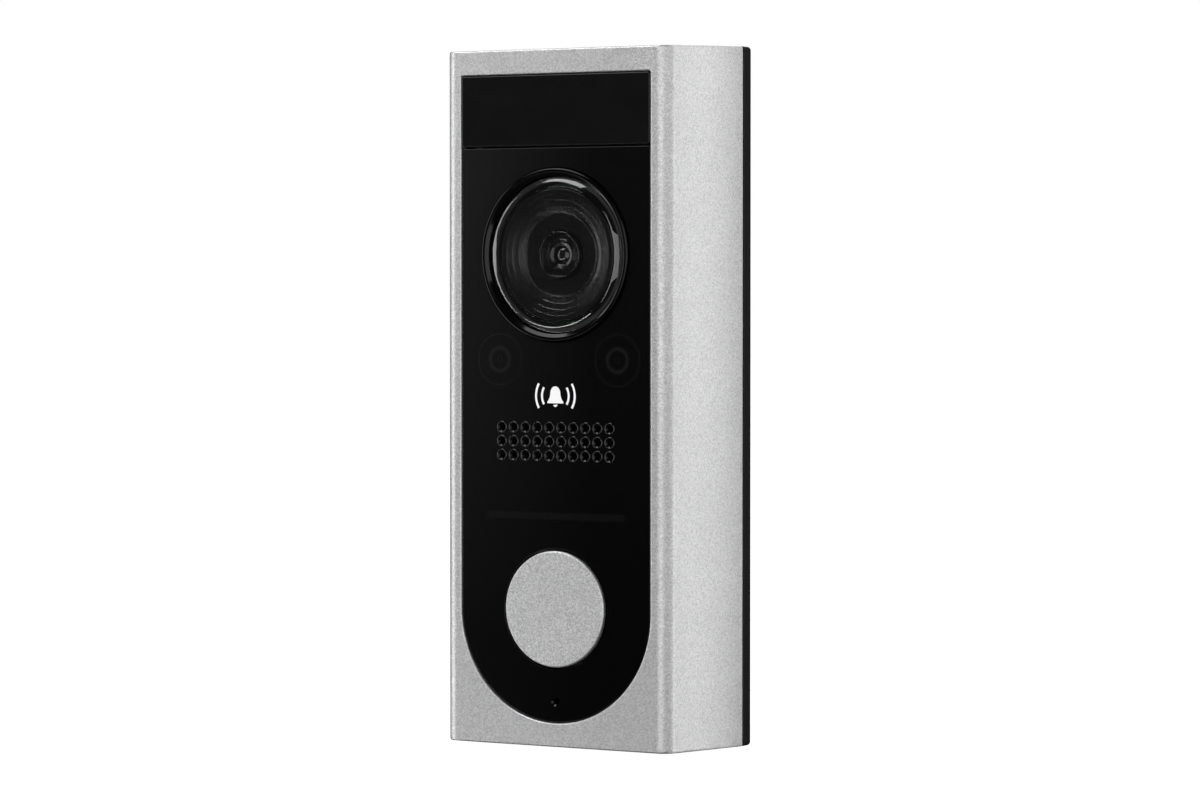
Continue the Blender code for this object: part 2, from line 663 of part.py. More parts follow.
def make_backup_capacitor():
    """Round can lying across the board, with a rolled neck near one end."""
    length = 20.0 * MM
    radius = 3.9 * MM
    can = [(0.0, 0.0), (radius - 0.3 * MM, 0.0), (radius, 0.3 * MM), (radius, 1.6 * MM)]
    can += [(radius - 0.4 * MM, 2.0 * MM), (radius, 2.4 * MM)]
    can += [(radius, length - 0.3 * MM), (radius - 0.3 * MM, length), (0.0, length)]
    piece = turned("backup_capacitor", can, SLEEVE_BLUE, sides=COARSE)
    piece.location = (-length / 2, behind(19.2 * MM), -39.0 * MM)
    piece.rotation_euler = (0.0, 0.0, math.radians(-90))


def make_terminals():
    """Two screws with clamp plates, reached from behind through the cover and the bracket."""
    centre = (0.0, TERMINAL_HEIGHT)
    back = 24.9 * MM
    seat = 23.3 * MM
    body = rectangle(-12.1 * MM, 12.1 * MM, -7.6 * MM, 7.6 * MM)
    block = slab("terminal_block", body, BOARD_BACK + TRIM_GAP, back, SATIN_BLACK, centre)
    screw = [(0.0, 17.0 * MM), (1.6 * MM, 17.0 * MM), (1.6 * MM, 24.3 * MM)]
    screw += [(3.0 * MM, 24.3 * MM), (3.0 * MM, 25.4 * MM), (2.7 * MM, 25.7 * MM), (0.0, 25.7 * MM)]
    hole = circle(1.85 * MM, COARSE)
    for side, label in ((-1, "left"), (1, "right")):
        place = (side * TERMINAL_OFFSET, TERMINAL_HEIGHT)
        pocket = rectangle(-4.3 * MM, 4.3 * MM, -4.3 * MM, 4.3 * MM)
        cut(block, slab(f"cut_terminal_pocket_{label}", pocket, seat, back + PAST, centre=place))
        cut(block, slab(f"cut_terminal_hole_{label}", hole, 16.2 * MM, back, centre=place))
        plate = slab(f"terminal_plate_{label}", rounded_rectangle(8.0 * MM, 8.0 * MM, 0.6 * MM, 2),
                     23.45 * MM, 24.15 * MM, BRASS, place)
        cut(plate, through(f"cut_terminal_plate_{label}", hole, 23.45 * MM, 24.15 * MM, place))
        head = turned(f"terminal_screw_{label}", screw, STEEL, place, COARSE)
        for way, half_x, half_z in (("across", 2.2 * MM, 0.4 * MM), ("down", 0.4 * MM, 2.2 * MM)):
            slot = rectangle(-half_x, half_x, -half_z, half_z)
            name = f"cut_terminal_slot_{way}_{label}"
            cut(head, slab(name, slot, 25.0 * MM, 26.5 * MM, centre=place))


# ---------------------------------------------------------------- back of the housing

def hook_room(height):
    """Lowest and highest point that a hook reaches inside its pocket as the housing lifts."""
    return height - LIFT_TRAVEL - 0.5 * MM, height + HOOK_STEM + HOOK_LIP + 0.4 * MM


def make_rear_cover():
    outline = [
        (COVER_BACK, COVER_TOP),
        (COVER_FRONT, COVER_TOP),
        (COVER_FRONT, STEP_HEIGHT),
        (STEP_FRONT, STEP_HEIGHT),
        (STEP_FRONT, -COVER_TOP),
        (STEP_FRONT + STEP_WALL, -COVER_TOP),
        (STEP_FRONT + STEP_WALL, STEP_HEIGHT - STEP_WALL),
        (COVER_BACK, STEP_HEIGHT - STEP_WALL),
    ]
    cover = bar("rear_cover", outline, -COVER_HALF_WIDTH, COVER_HALF_WIDTH, MATTE_BLACK)
    half = HOOK_WIDTH / 2 + 0.5 * MM
    wall = 1.0 * MM
    room_front = COVER_BACK - HOOK_REACH + 0.2 * MM - 0.6 * MM
    pockets = []
    rooms = []
    slots = []
    for side in (-1, 1):
        for height in HOOK_HEIGHTS:
            low, high = hook_room(height)
            place = (side * HOOK_OFFSET, 0.0)
            outer = rectangle(-half - wall, half + wall, low - wall, high + wall)
            pocket = slab("join_hook_pocket", outer, room_front - wall, COVER_FRONT + 0.4 * MM, centre=place)
            pockets.append(pocket)
            room = rectangle(-half, half, low, high)
            rooms.append(slab("cut_hook_room", room, room_front, COVER_FRONT, centre=place))
            slot = rectangle(-half, half, low, height + HOOK_STEM + 0.2 * MM)
            slot_front = COVER_FRONT - 0.5 * MM
            slots.append(slab("cut_hook_slot", slot, slot_front, COVER_BACK + PAST, centre=place))
    join(cover, grouped("join_hook_pockets", pockets))
    cut(cover, grouped("cut_hook_rooms", rooms), grouped("cut_hook_slots", slots))
    opening = rectangle(-12.4 * MM, 12.4 * MM, -7.9 * MM, 7.9 * MM)
    terminals = (0.0, TERMINAL_HEIGHT)
    cut(cover, through("cut_terminal_opening", opening, COVER_FRONT, COVER_BACK, terminals))
    reset_hole = circle(1.55 * MM, COARSE)
    cut(cover, through("cut_reset_hole", reset_hole, COVER_FRONT, COVER_BACK, (0.0, RESET_HEIGHT)))
    for side in (-1, 1):
        for height in COVER_SCREW_HEIGHTS:
            label = f"{'left' if side < 0 else 'right'}_{'upper' if height > 0 else 'lower'}"
            hole = [(0.0, COVER_FRONT - PAST), (1.15 * MM, COVER_FRONT - PAST), (1.15 * MM, 25.0 * MM)]
            hole += [(2.2 * MM, 25.0 * MM), (2.2 * MM, COVER_BACK + PAST), (0.0, COVER_BACK + PAST)]
            place = (side * COVER_SCREW_OFFSET, height)
            cut(cover, turned(f"cut_cover_screw_{label}", hole, centre=place, sides=COARSE))
            screw = [(0.0, 18.2 * MM), (0.9 * MM, 18.2 * MM), (0.9 * MM, 25.15 * MM)]
            screw += [(1.95 * MM, 25.15 * MM), (1.95 * MM, 25.8 * MM)]
            screw += [(1.6 * MM, 26.05 * MM), (0.0, 26.05 * MM)]
            head = turned(f"cover_screw_{label}", screw, STEEL, place, COARSE)
            drive = circle(0.8 * MM, 6)
            cut(head, slab(f"cut_screw_drive_{label}", drive, 25.5 * MM, 26.5 * MM, centre=place))


def make_housing_seal():
    """Flat rubber frame under the rim of the rear cover."""
    outer = rectangle(-21.9 * MM, 21.9 * MM, -47.0 * MM, 61.0 * MM)
    inner = rectangle(-21.1 * MM, 21.1 * MM, -46.2 * MM, 60.2 * MM)
    seal = slab("housing_seal", outer, 23.55 * MM, 24.05 * MM, RUBBER)
    cut(seal, slab("cut_housing_seal", inner, 23.0 * MM, 25.0 * MM))


def make_reset_button():
    """Set-up button behind the housing: a pin with a flange that keeps it in the cover."""
    centre = (0.0, RESET_HEIGHT)
    pin = [(0.0, 18.2 * MM), (1.2 * MM, 18.2 * MM), (1.2 * MM, 23.0 * MM), (2.3 * MM, 23.0 * MM)]
    pin += [(2.3 * MM, 24.0 * MM), (1.35 * MM, 24.0 * MM), (1.35 * MM, 25.7 * MM), (1.15 * MM, 25.9 * MM)]
    pin += [(0.0, 25.9 * MM)]
    turned("reset_button", pin, IVORY, centre, COARSE)
    base = rounded_rectangle(4.4 * MM, 4.4 * MM, 0.3 * MM, 1)
    knob = rounded_rectangle(1.8 * MM, 1.8 * MM, 0.3 * MM, 1)
    rings = [(base, BOARD_BACK + TRIM_GAP), (base, 17.2 * MM), (knob, 17.2 * MM), (knob, 17.7 * MM)]
    loft("reset_switch", rings, MATTE_BLACK, centre)


def make_security_screw():
    """Upright screw in the bottom end, which locks the housing to the bracket's lug."""
    head_top = -62.75 * MM
    profile = [(0.0, -64.0 * MM), (2.0 * MM, -64.0 * MM), (2.3 * MM, -63.7 * MM), (2.3 * MM, head_top)]
    profile += [(1.05 * MM, head_top), (1.05 * MM, -53.4 * MM), (0.8 * MM, -53.1 * MM), (0.0, -53.1 * MM)]
    screw = upright_turned("security_screw", profile, SECURITY_DEPTH, STEEL)
    drive = [(0.0, -65.0 * MM), (1.1 * MM, -65.0 * MM), (1.1 * MM, -63.2 * MM), (0.0, -63.2 * MM)]
    cut(screw, upright_turned("cut_security_drive", drive, SECURITY_DEPTH, sides=6))


# ---------------------------------------------------------------- wall bracket

def wall_screw_cutter(name, height, slot_half):
    """Countersunk hole for a wall screw, drawn out into an upright slot."""
    def outline(radius):
        upper = arc(0.0, slot_half, radius, 0, 180, 8)
        lower = arc(0.0, -slot_half, radius, 180, 360, 8)
        return upper + lower

    front = HOUSING_DEPTH + 0.2 * MM
    rings = [
        (outline(4.1 * MM + PAST), front - PAST),
        (outline(2.2 * MM), front + 1.9 * MM),
        (outline(2.2 * MM), DEPTH + PAST),
    ]
    return loft(name, rings, centre=(0.0, height))


def make_wall_bracket():
    front = DEPTH - BRACKET_THICKNESS
    plate = rounded_rectangle(WIDTH, 2 * BRACKET_HALF_HEIGHT, 0.8 * MM, 3)
    bracket = slab("wall_bracket", plate, front, DEPTH, SATIN_BLACK)
    tip = front - HOOK_REACH
    for side, label in ((-1, "left"), (1, "right")):
        for height in HOOK_HEIGHTS:
            hook = [
                (front + 0.5 * MM, height),
                (tip, height),
                (tip, height + HOOK_STEM + HOOK_LIP),
                (tip + 1.7 * MM, height + HOOK_STEM + HOOK_LIP),
                (tip + 1.7 * MM, height + HOOK_STEM),
                (front + 0.5 * MM, height + HOOK_STEM),
            ]
            middle = side * HOOK_OFFSET
            name = f"join_hook_{label}_{'upper' if height > 0 else 'lower'}"
            join(bracket, bar(name, hook, middle - HOOK_WIDTH / 2, middle + HOOK_WIDTH / 2))
    lug = [(front + 0.5 * MM, -57.0 * MM), (18.8 * MM, -57.0 * MM), (18.8 * MM, -53.8 * MM)]
    lug += [(front + 0.5 * MM, -53.8 * MM)]
    join(bracket, bar("join_lug", lug, -5.0 * MM, 5.0 * MM))
    lug_hole = [(0.0, -60.0 * MM), (1.3 * MM, -60.0 * MM), (1.3 * MM, -51.0 * MM), (0.0, -51.0 * MM)]
    cut(bracket, upright_turned("cut_lug_hole", lug_hole, SECURITY_DEPTH))
    wires = rounded_rectangle(26.0 * MM, 29.0 * MM, 2.0 * MM, 3)
    cut(bracket, through("cut_wire_opening", wires, front, DEPTH, (0.0, -21.5 * MM)))
    cut(bracket, wall_screw_cutter("cut_upper_wall_screw", 47.0 * MM, 0.01 * MM))
    cut(bracket, wall_screw_cutter("cut_lower_wall_screw", -45.0 * MM, 1.5 * MM))


def main():
    for item in list(bpy.data.objects):
        bpy.data.objects.remove(item, do_unlink=True)
    make_wall_bracket()
    make_front_housing()
    make_faceplate()
    make_pir_window()
    make_camera_front()
    make_lens_stack()
    make_infrared_lights()
    make_inner_frame()
    make_speaker()
    make_pir_sensor()
    make_call_button()
    make_main_board()
    make_backup_capacitor()
    make_terminals()
    make_rear_cover()
    make_housing_seal()
    make_reset_button()
    make_security_screw()


main()
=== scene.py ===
"""Video doorbell on its wall bracket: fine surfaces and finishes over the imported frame.

Sizes in this file are millimetres, and a depth is measured from the housing's front face
towards the wall.  Points become metres when a mesh is made, with +X to a visitor's right,
+Y into the wall and +Z up.
"""

import logging
import math
from dataclasses import dataclass
from enum import Enum

import bpy
import numpy as np
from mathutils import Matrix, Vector


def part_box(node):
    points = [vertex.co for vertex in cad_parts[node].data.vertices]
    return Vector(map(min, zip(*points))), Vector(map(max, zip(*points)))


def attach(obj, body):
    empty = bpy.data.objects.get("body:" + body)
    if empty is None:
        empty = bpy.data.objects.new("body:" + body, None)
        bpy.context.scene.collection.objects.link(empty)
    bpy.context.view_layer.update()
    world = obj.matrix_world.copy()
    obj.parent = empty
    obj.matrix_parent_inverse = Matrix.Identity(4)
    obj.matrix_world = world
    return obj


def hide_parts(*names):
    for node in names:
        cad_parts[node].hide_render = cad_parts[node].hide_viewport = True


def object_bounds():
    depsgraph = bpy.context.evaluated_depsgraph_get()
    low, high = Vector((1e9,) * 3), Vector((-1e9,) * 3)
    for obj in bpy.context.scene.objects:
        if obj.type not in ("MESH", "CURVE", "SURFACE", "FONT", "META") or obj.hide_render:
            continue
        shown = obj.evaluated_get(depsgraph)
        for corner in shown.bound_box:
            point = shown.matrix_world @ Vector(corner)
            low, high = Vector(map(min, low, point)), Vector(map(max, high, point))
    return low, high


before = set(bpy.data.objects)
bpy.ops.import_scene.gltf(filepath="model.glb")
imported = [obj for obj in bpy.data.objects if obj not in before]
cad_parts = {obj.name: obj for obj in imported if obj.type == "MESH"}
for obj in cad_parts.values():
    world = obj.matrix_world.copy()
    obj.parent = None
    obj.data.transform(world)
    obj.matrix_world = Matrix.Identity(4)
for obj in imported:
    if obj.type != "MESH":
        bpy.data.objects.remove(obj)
CAD_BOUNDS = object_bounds()

MM = 0.001
FRONT_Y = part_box("front_housing")[0][1]     # world Y of the plane at depth 0
ROUND = 160                                 # sides of the large turned pieces
SMALL = 48                                  # sides of the small turned pieces
NEAR = 0.05                                 # gap to the extra ring that keeps a flat face flat
SMOOTH_ANGLE = math.radians(32)             # edges that turn by more than this stay sharp
LEAST_CORNER = 0.02                         # least corner radius of an outline moved inwards

Point = tuple[float, float]
Colour = tuple[float, float, float]
Socket = bpy.types.NodeSocket
Value = float | bpy.types.NodeSocket

log = logging.getLogger("doorbell")


def axis_of(node: str) -> Point:
    """X and z, in millimetres, of the axis of a round CAD node."""
    low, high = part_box(node)
    return (low[0] + high[0]) / 2 / MM, (low[2] + high[2]) / 2 / MM


# ---------------------------------------------------------------- profiles and outlines

def at_depth(flat: np.ndarray, depth: float) -> np.ndarray:
    """Carries (x, z) rows to points (x, depth, z)."""
    return np.stack([flat[:, 0], np.full(len(flat), depth), flat[:, 1]], axis=1)


def between(first: float, last: float) -> np.ndarray:
    """Straight profile that holds the outline from one depth to another."""
    return np.array([(0.0, first), (0.0, last)])


def rounded(corners: list[tuple[float, float, float]], closed: bool = False, steps: int = 5,
            support: float = 0.04) -> np.ndarray:
    """Turns corners into a profile with an arc of the given radius at each.

    An arc touches both straight runs at radius / tan(half the corner's angle) from the
    corner.  A point a little way out on each run keeps the flats flat when shaded smooth.

    Args:
        corners: across, depth and corner radius of each corner.
        closed: whether the last corner runs on to the first.
        steps: number of pieces in each arc.
        support: distance of the extra point on each run.

    Returns:
        Points of the profile, one (across, depth) row each.
    """
    flat = np.array([corner[:2] for corner in corners], dtype=float)
    count = len(corners)
    rows: list[np.ndarray] = []
    for index, (_, _, radius) in enumerate(corners):
        at_end = not closed and index in (0, count - 1)
        if at_end or radius <= 0.0:
            rows.append(flat[index:index + 1])
            continue
        corner = flat[index]
        before = flat[index - 1] - corner
        after = flat[(index + 1) % count] - corner
        room = min(np.linalg.norm(before), np.linalg.norm(after))
        before /= np.linalg.norm(before)
        after /= np.linalg.norm(after)
        half = math.acos(float(np.clip(before @ after, -1.0, 1.0))) / 2
        reach = min(radius / math.tan(half), 0.45 * room)
        middle = corner + (before + after) / np.linalg.norm(before + after) * reach / math.cos(half)
        start = corner + before * reach - middle
        end = corner + after * reach - middle
        first = math.atan2(start[1], start[0])
        turn = math.remainder(math.atan2(end[1], end[0]) - first, 2 * math.pi)
        angles = first + turn * np.linspace(0.0, 1.0, steps + 1)
        arc = middle + np.linalg.norm(start) * np.stack([np.cos(angles), np.sin(angles)], axis=1)
        out = min(reach + support, 0.48 * room)
        rows += [(corner + before * out)[None], arc, (corner + after * out)[None]]
    return np.concatenate(rows)


def run(start: Point, end: Point, count: int) -> np.ndarray:
    """Evenly spaced points from start up to, but not including, end."""
    share = np.arange(count)[:, None] / count
    return np.array(start) + (np.array(end) - np.array(start)) * share


def sweep(centre: Point, radius: float, first: float, last: float, count: int) -> np.ndarray:
    """Points on an arc from one angle in degrees up to, but not including, another."""
    angles = np.radians(first + (last - first) * np.arange(count) / count)
    return np.array(centre) + radius * np.stack([np.cos(angles), np.sin(angles)], axis=1)


def both_sides(right: np.ndarray) -> np.ndarray:
    """Closes a right-hand half, given from top centre to bottom centre, with its mirror."""
    left = right[1:-1][::-1] * np.array([-1.0, 1.0])
    return np.concatenate([right, left])


@dataclass(frozen=True)
class Arch:
    """Outline with straight sides, a flat top and a half-round lower end.

    Attributes:
        half: half the width, which is also the radius of the lower end.
        top: height of the flat top.
        centre: height of the lower end's centre.
        corner: radius of the two upper corners.
    """

    half: float
    top: float
    centre: float
    corner: float = 0.35

    def at(self, offset: float) -> np.ndarray:
        """Points of the outline moved inwards by offset, matched one to one with Frame's.

        The lower end's points are closest between turn and turn + corner_turn degrees below
        level, where a Frame has its corner.

        Args:
            offset: how far inwards the outline moves.

        Returns:
            (x, z) rows.
        """
        half = self.half - offset
        top = self.top - offset
        corner = max(self.corner - offset, LEAST_CORNER)
        turn = 58.0
        corner_turn = 4.0
        right = [
            run((0.0, top), (half - corner, top), 16),
            sweep((half - corner, top - corner), corner, 90, 0, 5),
            run((half, top - corner), (half, self.centre), 32),
            sweep((0.0, self.centre), half, 0, -turn, 40),
            sweep((0.0, self.centre), half, -turn, -turn - corner_turn, 5),
            sweep((0.0, self.centre), half, -turn - corner_turn, -90, 20),
            np.array([[0.0, self.centre - half]]),
        ]
        return both_sides(np.concatenate(right))


@dataclass(frozen=True)
class Frame:
    """Rectangular outline with small corners, matched point for point with an Arch.

    Attributes:
        half_width: half the width.
        half_height: half the height.
        middle: height at which the right side is split, the arch's centre.
        corner: corner radius.
    """

    half_width: float
    half_height: float
    middle: float
    corner: float = 0.4

    def at(self, offset: float) -> np.ndarray:
        """Points of the outline moved inwards by offset.

        Args:
            offset: how far inwards the outline moves.

        Returns:
            (x, z) rows, as many as an Arch has.
        """
        x = self.half_width - offset
        z = self.half_height - offset
        corner = max(self.corner - offset, LEAST_CORNER)
        right = [
            run((0.0, z), (x - corner, z), 16),
            sweep((x - corner, z - corner), corner, 90, 0, 5),
            run((x, z - corner), (x, self.middle), 32),
            run((x, self.middle), (x, corner - z), 40),
            sweep((x - corner, corner - z), corner, 0, -90, 5),
            run((x - corner, -z), (0.0, -z), 20),
            np.array([[0.0, -z]]),
        ]
        return both_sides(np.concatenate(right))


@dataclass(frozen=True)
class Panel:
    """Rectangle between two corners, with rounded corners of its own.

    Attributes:
        left, right, bottom, top: sides of the rectangle.
        corner: corner radius.
        steps: number of pieces in each corner's arc.
    """

    left: float
    right: float
    bottom: float
    top: float
    corner: float
    steps: int = 8

    def at(self, offset: float) -> np.ndarray:
        """Points of the outline moved inwards by offset.

        Args:
            offset: how far inwards the outline moves.

        Returns:
            (x, z) rows.
        """
        corner = max(self.corner - offset, LEAST_CORNER)
        inset = offset + corner
        corners = (
            (self.right - inset, self.top - inset, 90),
            (self.right - inset, self.bottom + inset, 0),
            (self.left + inset, self.bottom + inset, -90),
            (self.left + inset, self.top - inset, -180),
        )
        arcs = [sweep((x, z), corner, first, first - 90, self.steps) for x, z, first in corners]
        ends = [np.array([[x + corner * math.cos(math.radians(first - 90)),
                           z + corner * math.sin(math.radians(first - 90))]])
                for x, z, first in corners]
        return np.concatenate([part for pair in zip(arcs, ends) for part in pair])


# ---------------------------------------------------------------- meshes

class Ends(Enum):
    """How the first and last ring of a skin are closed."""

    JOINED = "the last ring runs on to the first"
    FILLED = "a flat face fills each end"
    POINTED = "each end shrinks to its middle"


class Shape:
    """Mesh in the making: closed skins over rings of points, each facing outwards."""

    def __init__(self) -> None:
        """Starts with no points and no faces."""
        self.points: list[np.ndarray] = []
        self.faces: list[list[int]] = []
        self.count = 0

    def skin(self, rings: np.ndarray, ends: Ends) -> "Shape":
        """Adds the closed surface over a grid of rings.

        Each ring is a closed loop of equally many points, and four neighbours on the grid
        make a face.  The sign of the volume, a third of the sum of each face's middle
        dotted with its area vector, tells which way the faces point.

        Args:
            rings: (rings, points, 3) array in millimetres.
            ends: how the first and last ring are closed.

        Returns:
            The same shape, so that calls can be chained.
        """
        rows, columns = rings.shape[:2]
        points = rings.reshape(-1, 3)
        near = np.arange(rows * columns).reshape(rows, columns)
        far = np.roll(near, -1, axis=0)
        if ends is not Ends.JOINED:
            near, far = near[:-1], far[:-1]
        quads = np.stack([near, np.roll(near, -1, axis=1), np.roll(far, -1, axis=1), far], axis=-1)
        quads = quads.reshape(-1, 4)
        faces: list[list[int]] = quads.tolist()
        first = np.arange(columns)
        last = first + (rows - 1) * columns
        if ends is Ends.FILLED:
            faces += [first[::-1].tolist(), last.tolist()]
        if ends is Ends.POINTED:
            tips = np.stack([rings[0].mean(axis=0), rings[-1].mean(axis=0)])
            points = np.concatenate([points, tips])
            tip = np.full(columns, rows * columns)
            faces += np.stack([np.roll(first, -1), first, tip], axis=1).tolist()
            faces += np.stack([last, np.roll(last, -1), tip + 1], axis=1).tolist()
        corners = points[quads] - points.mean(axis=0)
        area = np.cross(corners[:, 2] - corners[:, 0], corners[:, 3] - corners[:, 1])
        if np.einsum("ij,ij->", corners.mean(axis=1), area) < 0.0:
            faces = [face[::-1] for face in faces]
        self.faces += [[index + self.count for index in face] for face in faces]
        self.points.append(points)
        self.count += len(points)
        return self

    def turned(self, profile: np.ndarray, centre: Point, ends: Ends = Ends.JOINED,
               sides: int = ROUND) -> "Shape":
        """Adds a profile turned about the depth axis through centre.

        A point at radius r and depth d becomes x = r cos a, z = r sin a at every angle a.

        Args:
            profile: (radius, depth) rows.
            centre: x and z of the axis.
            ends: JOINED for a ring, POINTED for a solid that reaches the axis.
            sides: number of angles.

        Returns:
            The same shape.
        """
        angle = np.linspace(0.0, 2 * np.pi, sides, endpoint=False)
        radius, depth = profile[:, :1], profile[:, 1:]
        x = centre[0] + radius * np.cos(angle)
        z = centre[1] + radius * np.sin(angle)
        return self.skin(np.stack([x, depth + 0.0 * angle, z], axis=-1), ends)

    def upright(self, profile: np.ndarray, x: float, depth: float, sides: int = SMALL) -> "Shape":
        """Adds a profile turned about an upright axis, pointed at both ends.

        Args:
            profile: (radius, height) rows.
            x: x of the axis.
            depth: depth of the axis.
            sides: number of angles.

        Returns:
            The same shape.
        """
        angle = np.linspace(0.0, 2 * np.pi, sides, endpoint=False)
        radius, height = profile[:, :1], profile[:, 1:]
        ring = [x + radius * np.cos(angle), depth + radius * np.sin(angle), height + 0.0 * angle]
        return self.skin(np.stack(ring, axis=-1), Ends.POINTED)

    def plate(self, outline: Arch | Frame | Panel, profile: np.ndarray,
              ends: Ends = Ends.FILLED) -> "Shape":
        """Adds a plate: an outline carried along a profile.

        Args:
            outline: the plate's outline.
            profile: (offset inwards, depth) rows.
            ends: how the first and last ring are closed.

        Returns:
            The same shape.
        """
        return self.skin(np.stack([at_depth(outline.at(offset), depth) for offset, depth in profile]), ends)

    def bar(self, profile: np.ndarray, left: float, right: float, edge: float) -> "Shape":
        """Adds a bar along X with a (depth, height) profile and broken end edges.

        Args:
            profile: closed outline of the bar's section.
            left: x of one end.
            right: x of the other end.
            edge: how far the section shrinks towards its middle at the two ends.

        Returns:
            The same shape.
        """
        middle = profile.mean(axis=0)
        span = np.abs(profile - middle).max()
        small = middle + (profile - middle) * (1.0 - edge / span)
        stations = ((left, small), (left + edge, profile), (right - edge, profile), (right, small))
        rings = [np.stack([np.full(len(section), x), section[:, 0], section[:, 1]], axis=1)
                 for x, section in stations]
        return self.skin(np.stack(rings), Ends.FILLED)

    def make(self, name: str) -> bpy.types.Object:
        """Makes the object, in metres, at the origin.

        Args:
            name: the piece's name.

        Returns:
            The new object, linked into the scene.
        """
        points = np.concatenate(self.points) * MM
        points[:, 1] += FRONT_Y
        mesh = bpy.data.meshes.new(name)
        mesh.from_pydata(points.tolist(), [], self.faces)
        mesh.update()
        piece = bpy.data.objects.new(name, mesh)
        bpy.context.scene.collection.objects.link(piece)
        return piece


def combine(piece: bpy.types.Object, tool: Shape, operation: str) -> None:
    """Cuts a shape out of a piece, or joins it on, and keeps the resulting mesh.

    Args:
        piece: the piece that changes.
        tool: the shape that cuts or is joined.
        operation: "DIFFERENCE" or "UNION".
    """
    cutter = tool.make("tool")
    modifier = piece.modifiers.new("combine", "BOOLEAN")
    modifier.operation = operation
    modifier.solver = "EXACT"
    modifier.object = cutter
    graph = bpy.context.evaluated_depsgraph_get()
    result = bpy.data.meshes.new_from_object(piece.evaluated_get(graph))
    piece.modifiers.clear()
    plain = piece.data
    piece.data = result
    bpy.data.meshes.remove(plain)
    result.name = piece.name
    bpy.data.objects.remove(cutter)


# ---------------------------------------------------------------- finishes

class Nodes:
    """Short hand for the nodes of one material."""

    def __init__(self, name: str) -> None:
        """Makes a material whose tree holds only its output."""
        self.material = bpy.data.materials.new(name)
        self.material.use_nodes = True
        self.tree = self.material.node_tree
        self.tree.nodes.clear()
        self.output = self.add("ShaderNodeOutputMaterial")
        place = self.add("ShaderNodeTexCoord")
        self.place = place.outputs["Object"]

    def add(self, kind: str, inputs: dict | None = None, **settings: object) -> bpy.types.Node:
        """Adds a node.

        Args:
            kind: the node's type.
            inputs: values or sockets for its inputs, by name or by number.
            **settings: the node's own properties.

        Returns:
            The new node.
        """
        node = self.tree.nodes.new(kind)
        for key, value in settings.items():
            setattr(node, key, value)
        for key, value in (inputs or {}).items():
            if isinstance(value, bpy.types.NodeSocket):
                self.tree.links.new(value, node.inputs[key])
            else:
                node.inputs[key].default_value = value
        return node

    def noise(self, size: float, detail: float = 3.0, stretch: Colour = (1.0, 1.0, 1.0)) -> Socket:
        """Noise from 0 to 1.

        Args:
            size: rough size of its lumps, in millimetres.
            detail: number of finer layers.
            stretch: factor on how fast it changes along x, y and z.

        Returns:
            The noise.
        """
        scale = tuple(share / (size * MM) for share in stretch)
        place = self.add("ShaderNodeMapping", {"Vector": self.place, "Scale": scale})
        noise = self.add("ShaderNodeTexNoise", {"Vector": place.outputs[0], "Scale": 1.0,
                                                "Detail": detail, "Roughness": 0.6})
        return noise.outputs["Fac"]

    def cells(self, size: float) -> Socket:
        """One random value from 0 to 1 for each flake about size millimetres across."""
        cells = self.add("ShaderNodeTexVoronoi", {"Vector": self.place, "Scale": 1.0 / (size * MM)})
        split = self.add("ShaderNodeSeparateColor", {"Color": cells.outputs["Color"]})
        return split.outputs[0]

    def remap(self, value: Value, low: float, high: float, start: float = 0.0,
              end: float = 1.0) -> Socket:
        """Carries start..end over to low..high, held at both ends."""
        inputs = {"Value": value, "From Min": start, "From Max": end, "To Min": low, "To Max": high}
        return self.add("ShaderNodeMapRange", inputs).outputs[0]

    def maths(self, operation: str, first: Value, second: Value = 0.0) -> Socket:
        """A Math node's result."""
        node = self.add("ShaderNodeMath", {0: first, 1: second}, operation=operation)
        return node.outputs[0]

    def product(self, first: Value, second: Value) -> Socket:
        """Two values multiplied."""
        return self.maths("MULTIPLY", first, second)

    def distance(self, value: Value, mark: float) -> Socket:
        """How far a value is from a mark, never negative."""
        return self.maths("ABSOLUTE", self.maths("SUBTRACT", value, mark))

    def tinted(self, colour: Colour, factor: Value) -> Socket:
        """A colour made lighter or darker by a factor."""
        scaled = self.add("ShaderNodeVectorMath", {0: colour, "Scale": factor}, operation="SCALE")
        return scaled.outputs[0]

    def bump(self, height: Socket, relief: float) -> Socket:
        """Normal of a relief whose height runs over relief millimetres."""
        inputs = {"Height": height, "Distance": relief * MM, "Strength": 1.0}
        return self.add("ShaderNodeBump", inputs).outputs[0]


class Pattern(Enum):
    """What breaks up a finish."""

    GRAIN = "fine even grain"
    FLAKE = "tiny mirror flakes in a lacquer"
    BRUSHED = "long fine scratches"
    MOULDED = "spark-eroded mould texture"
    RUBBER = "soft uneven skin"


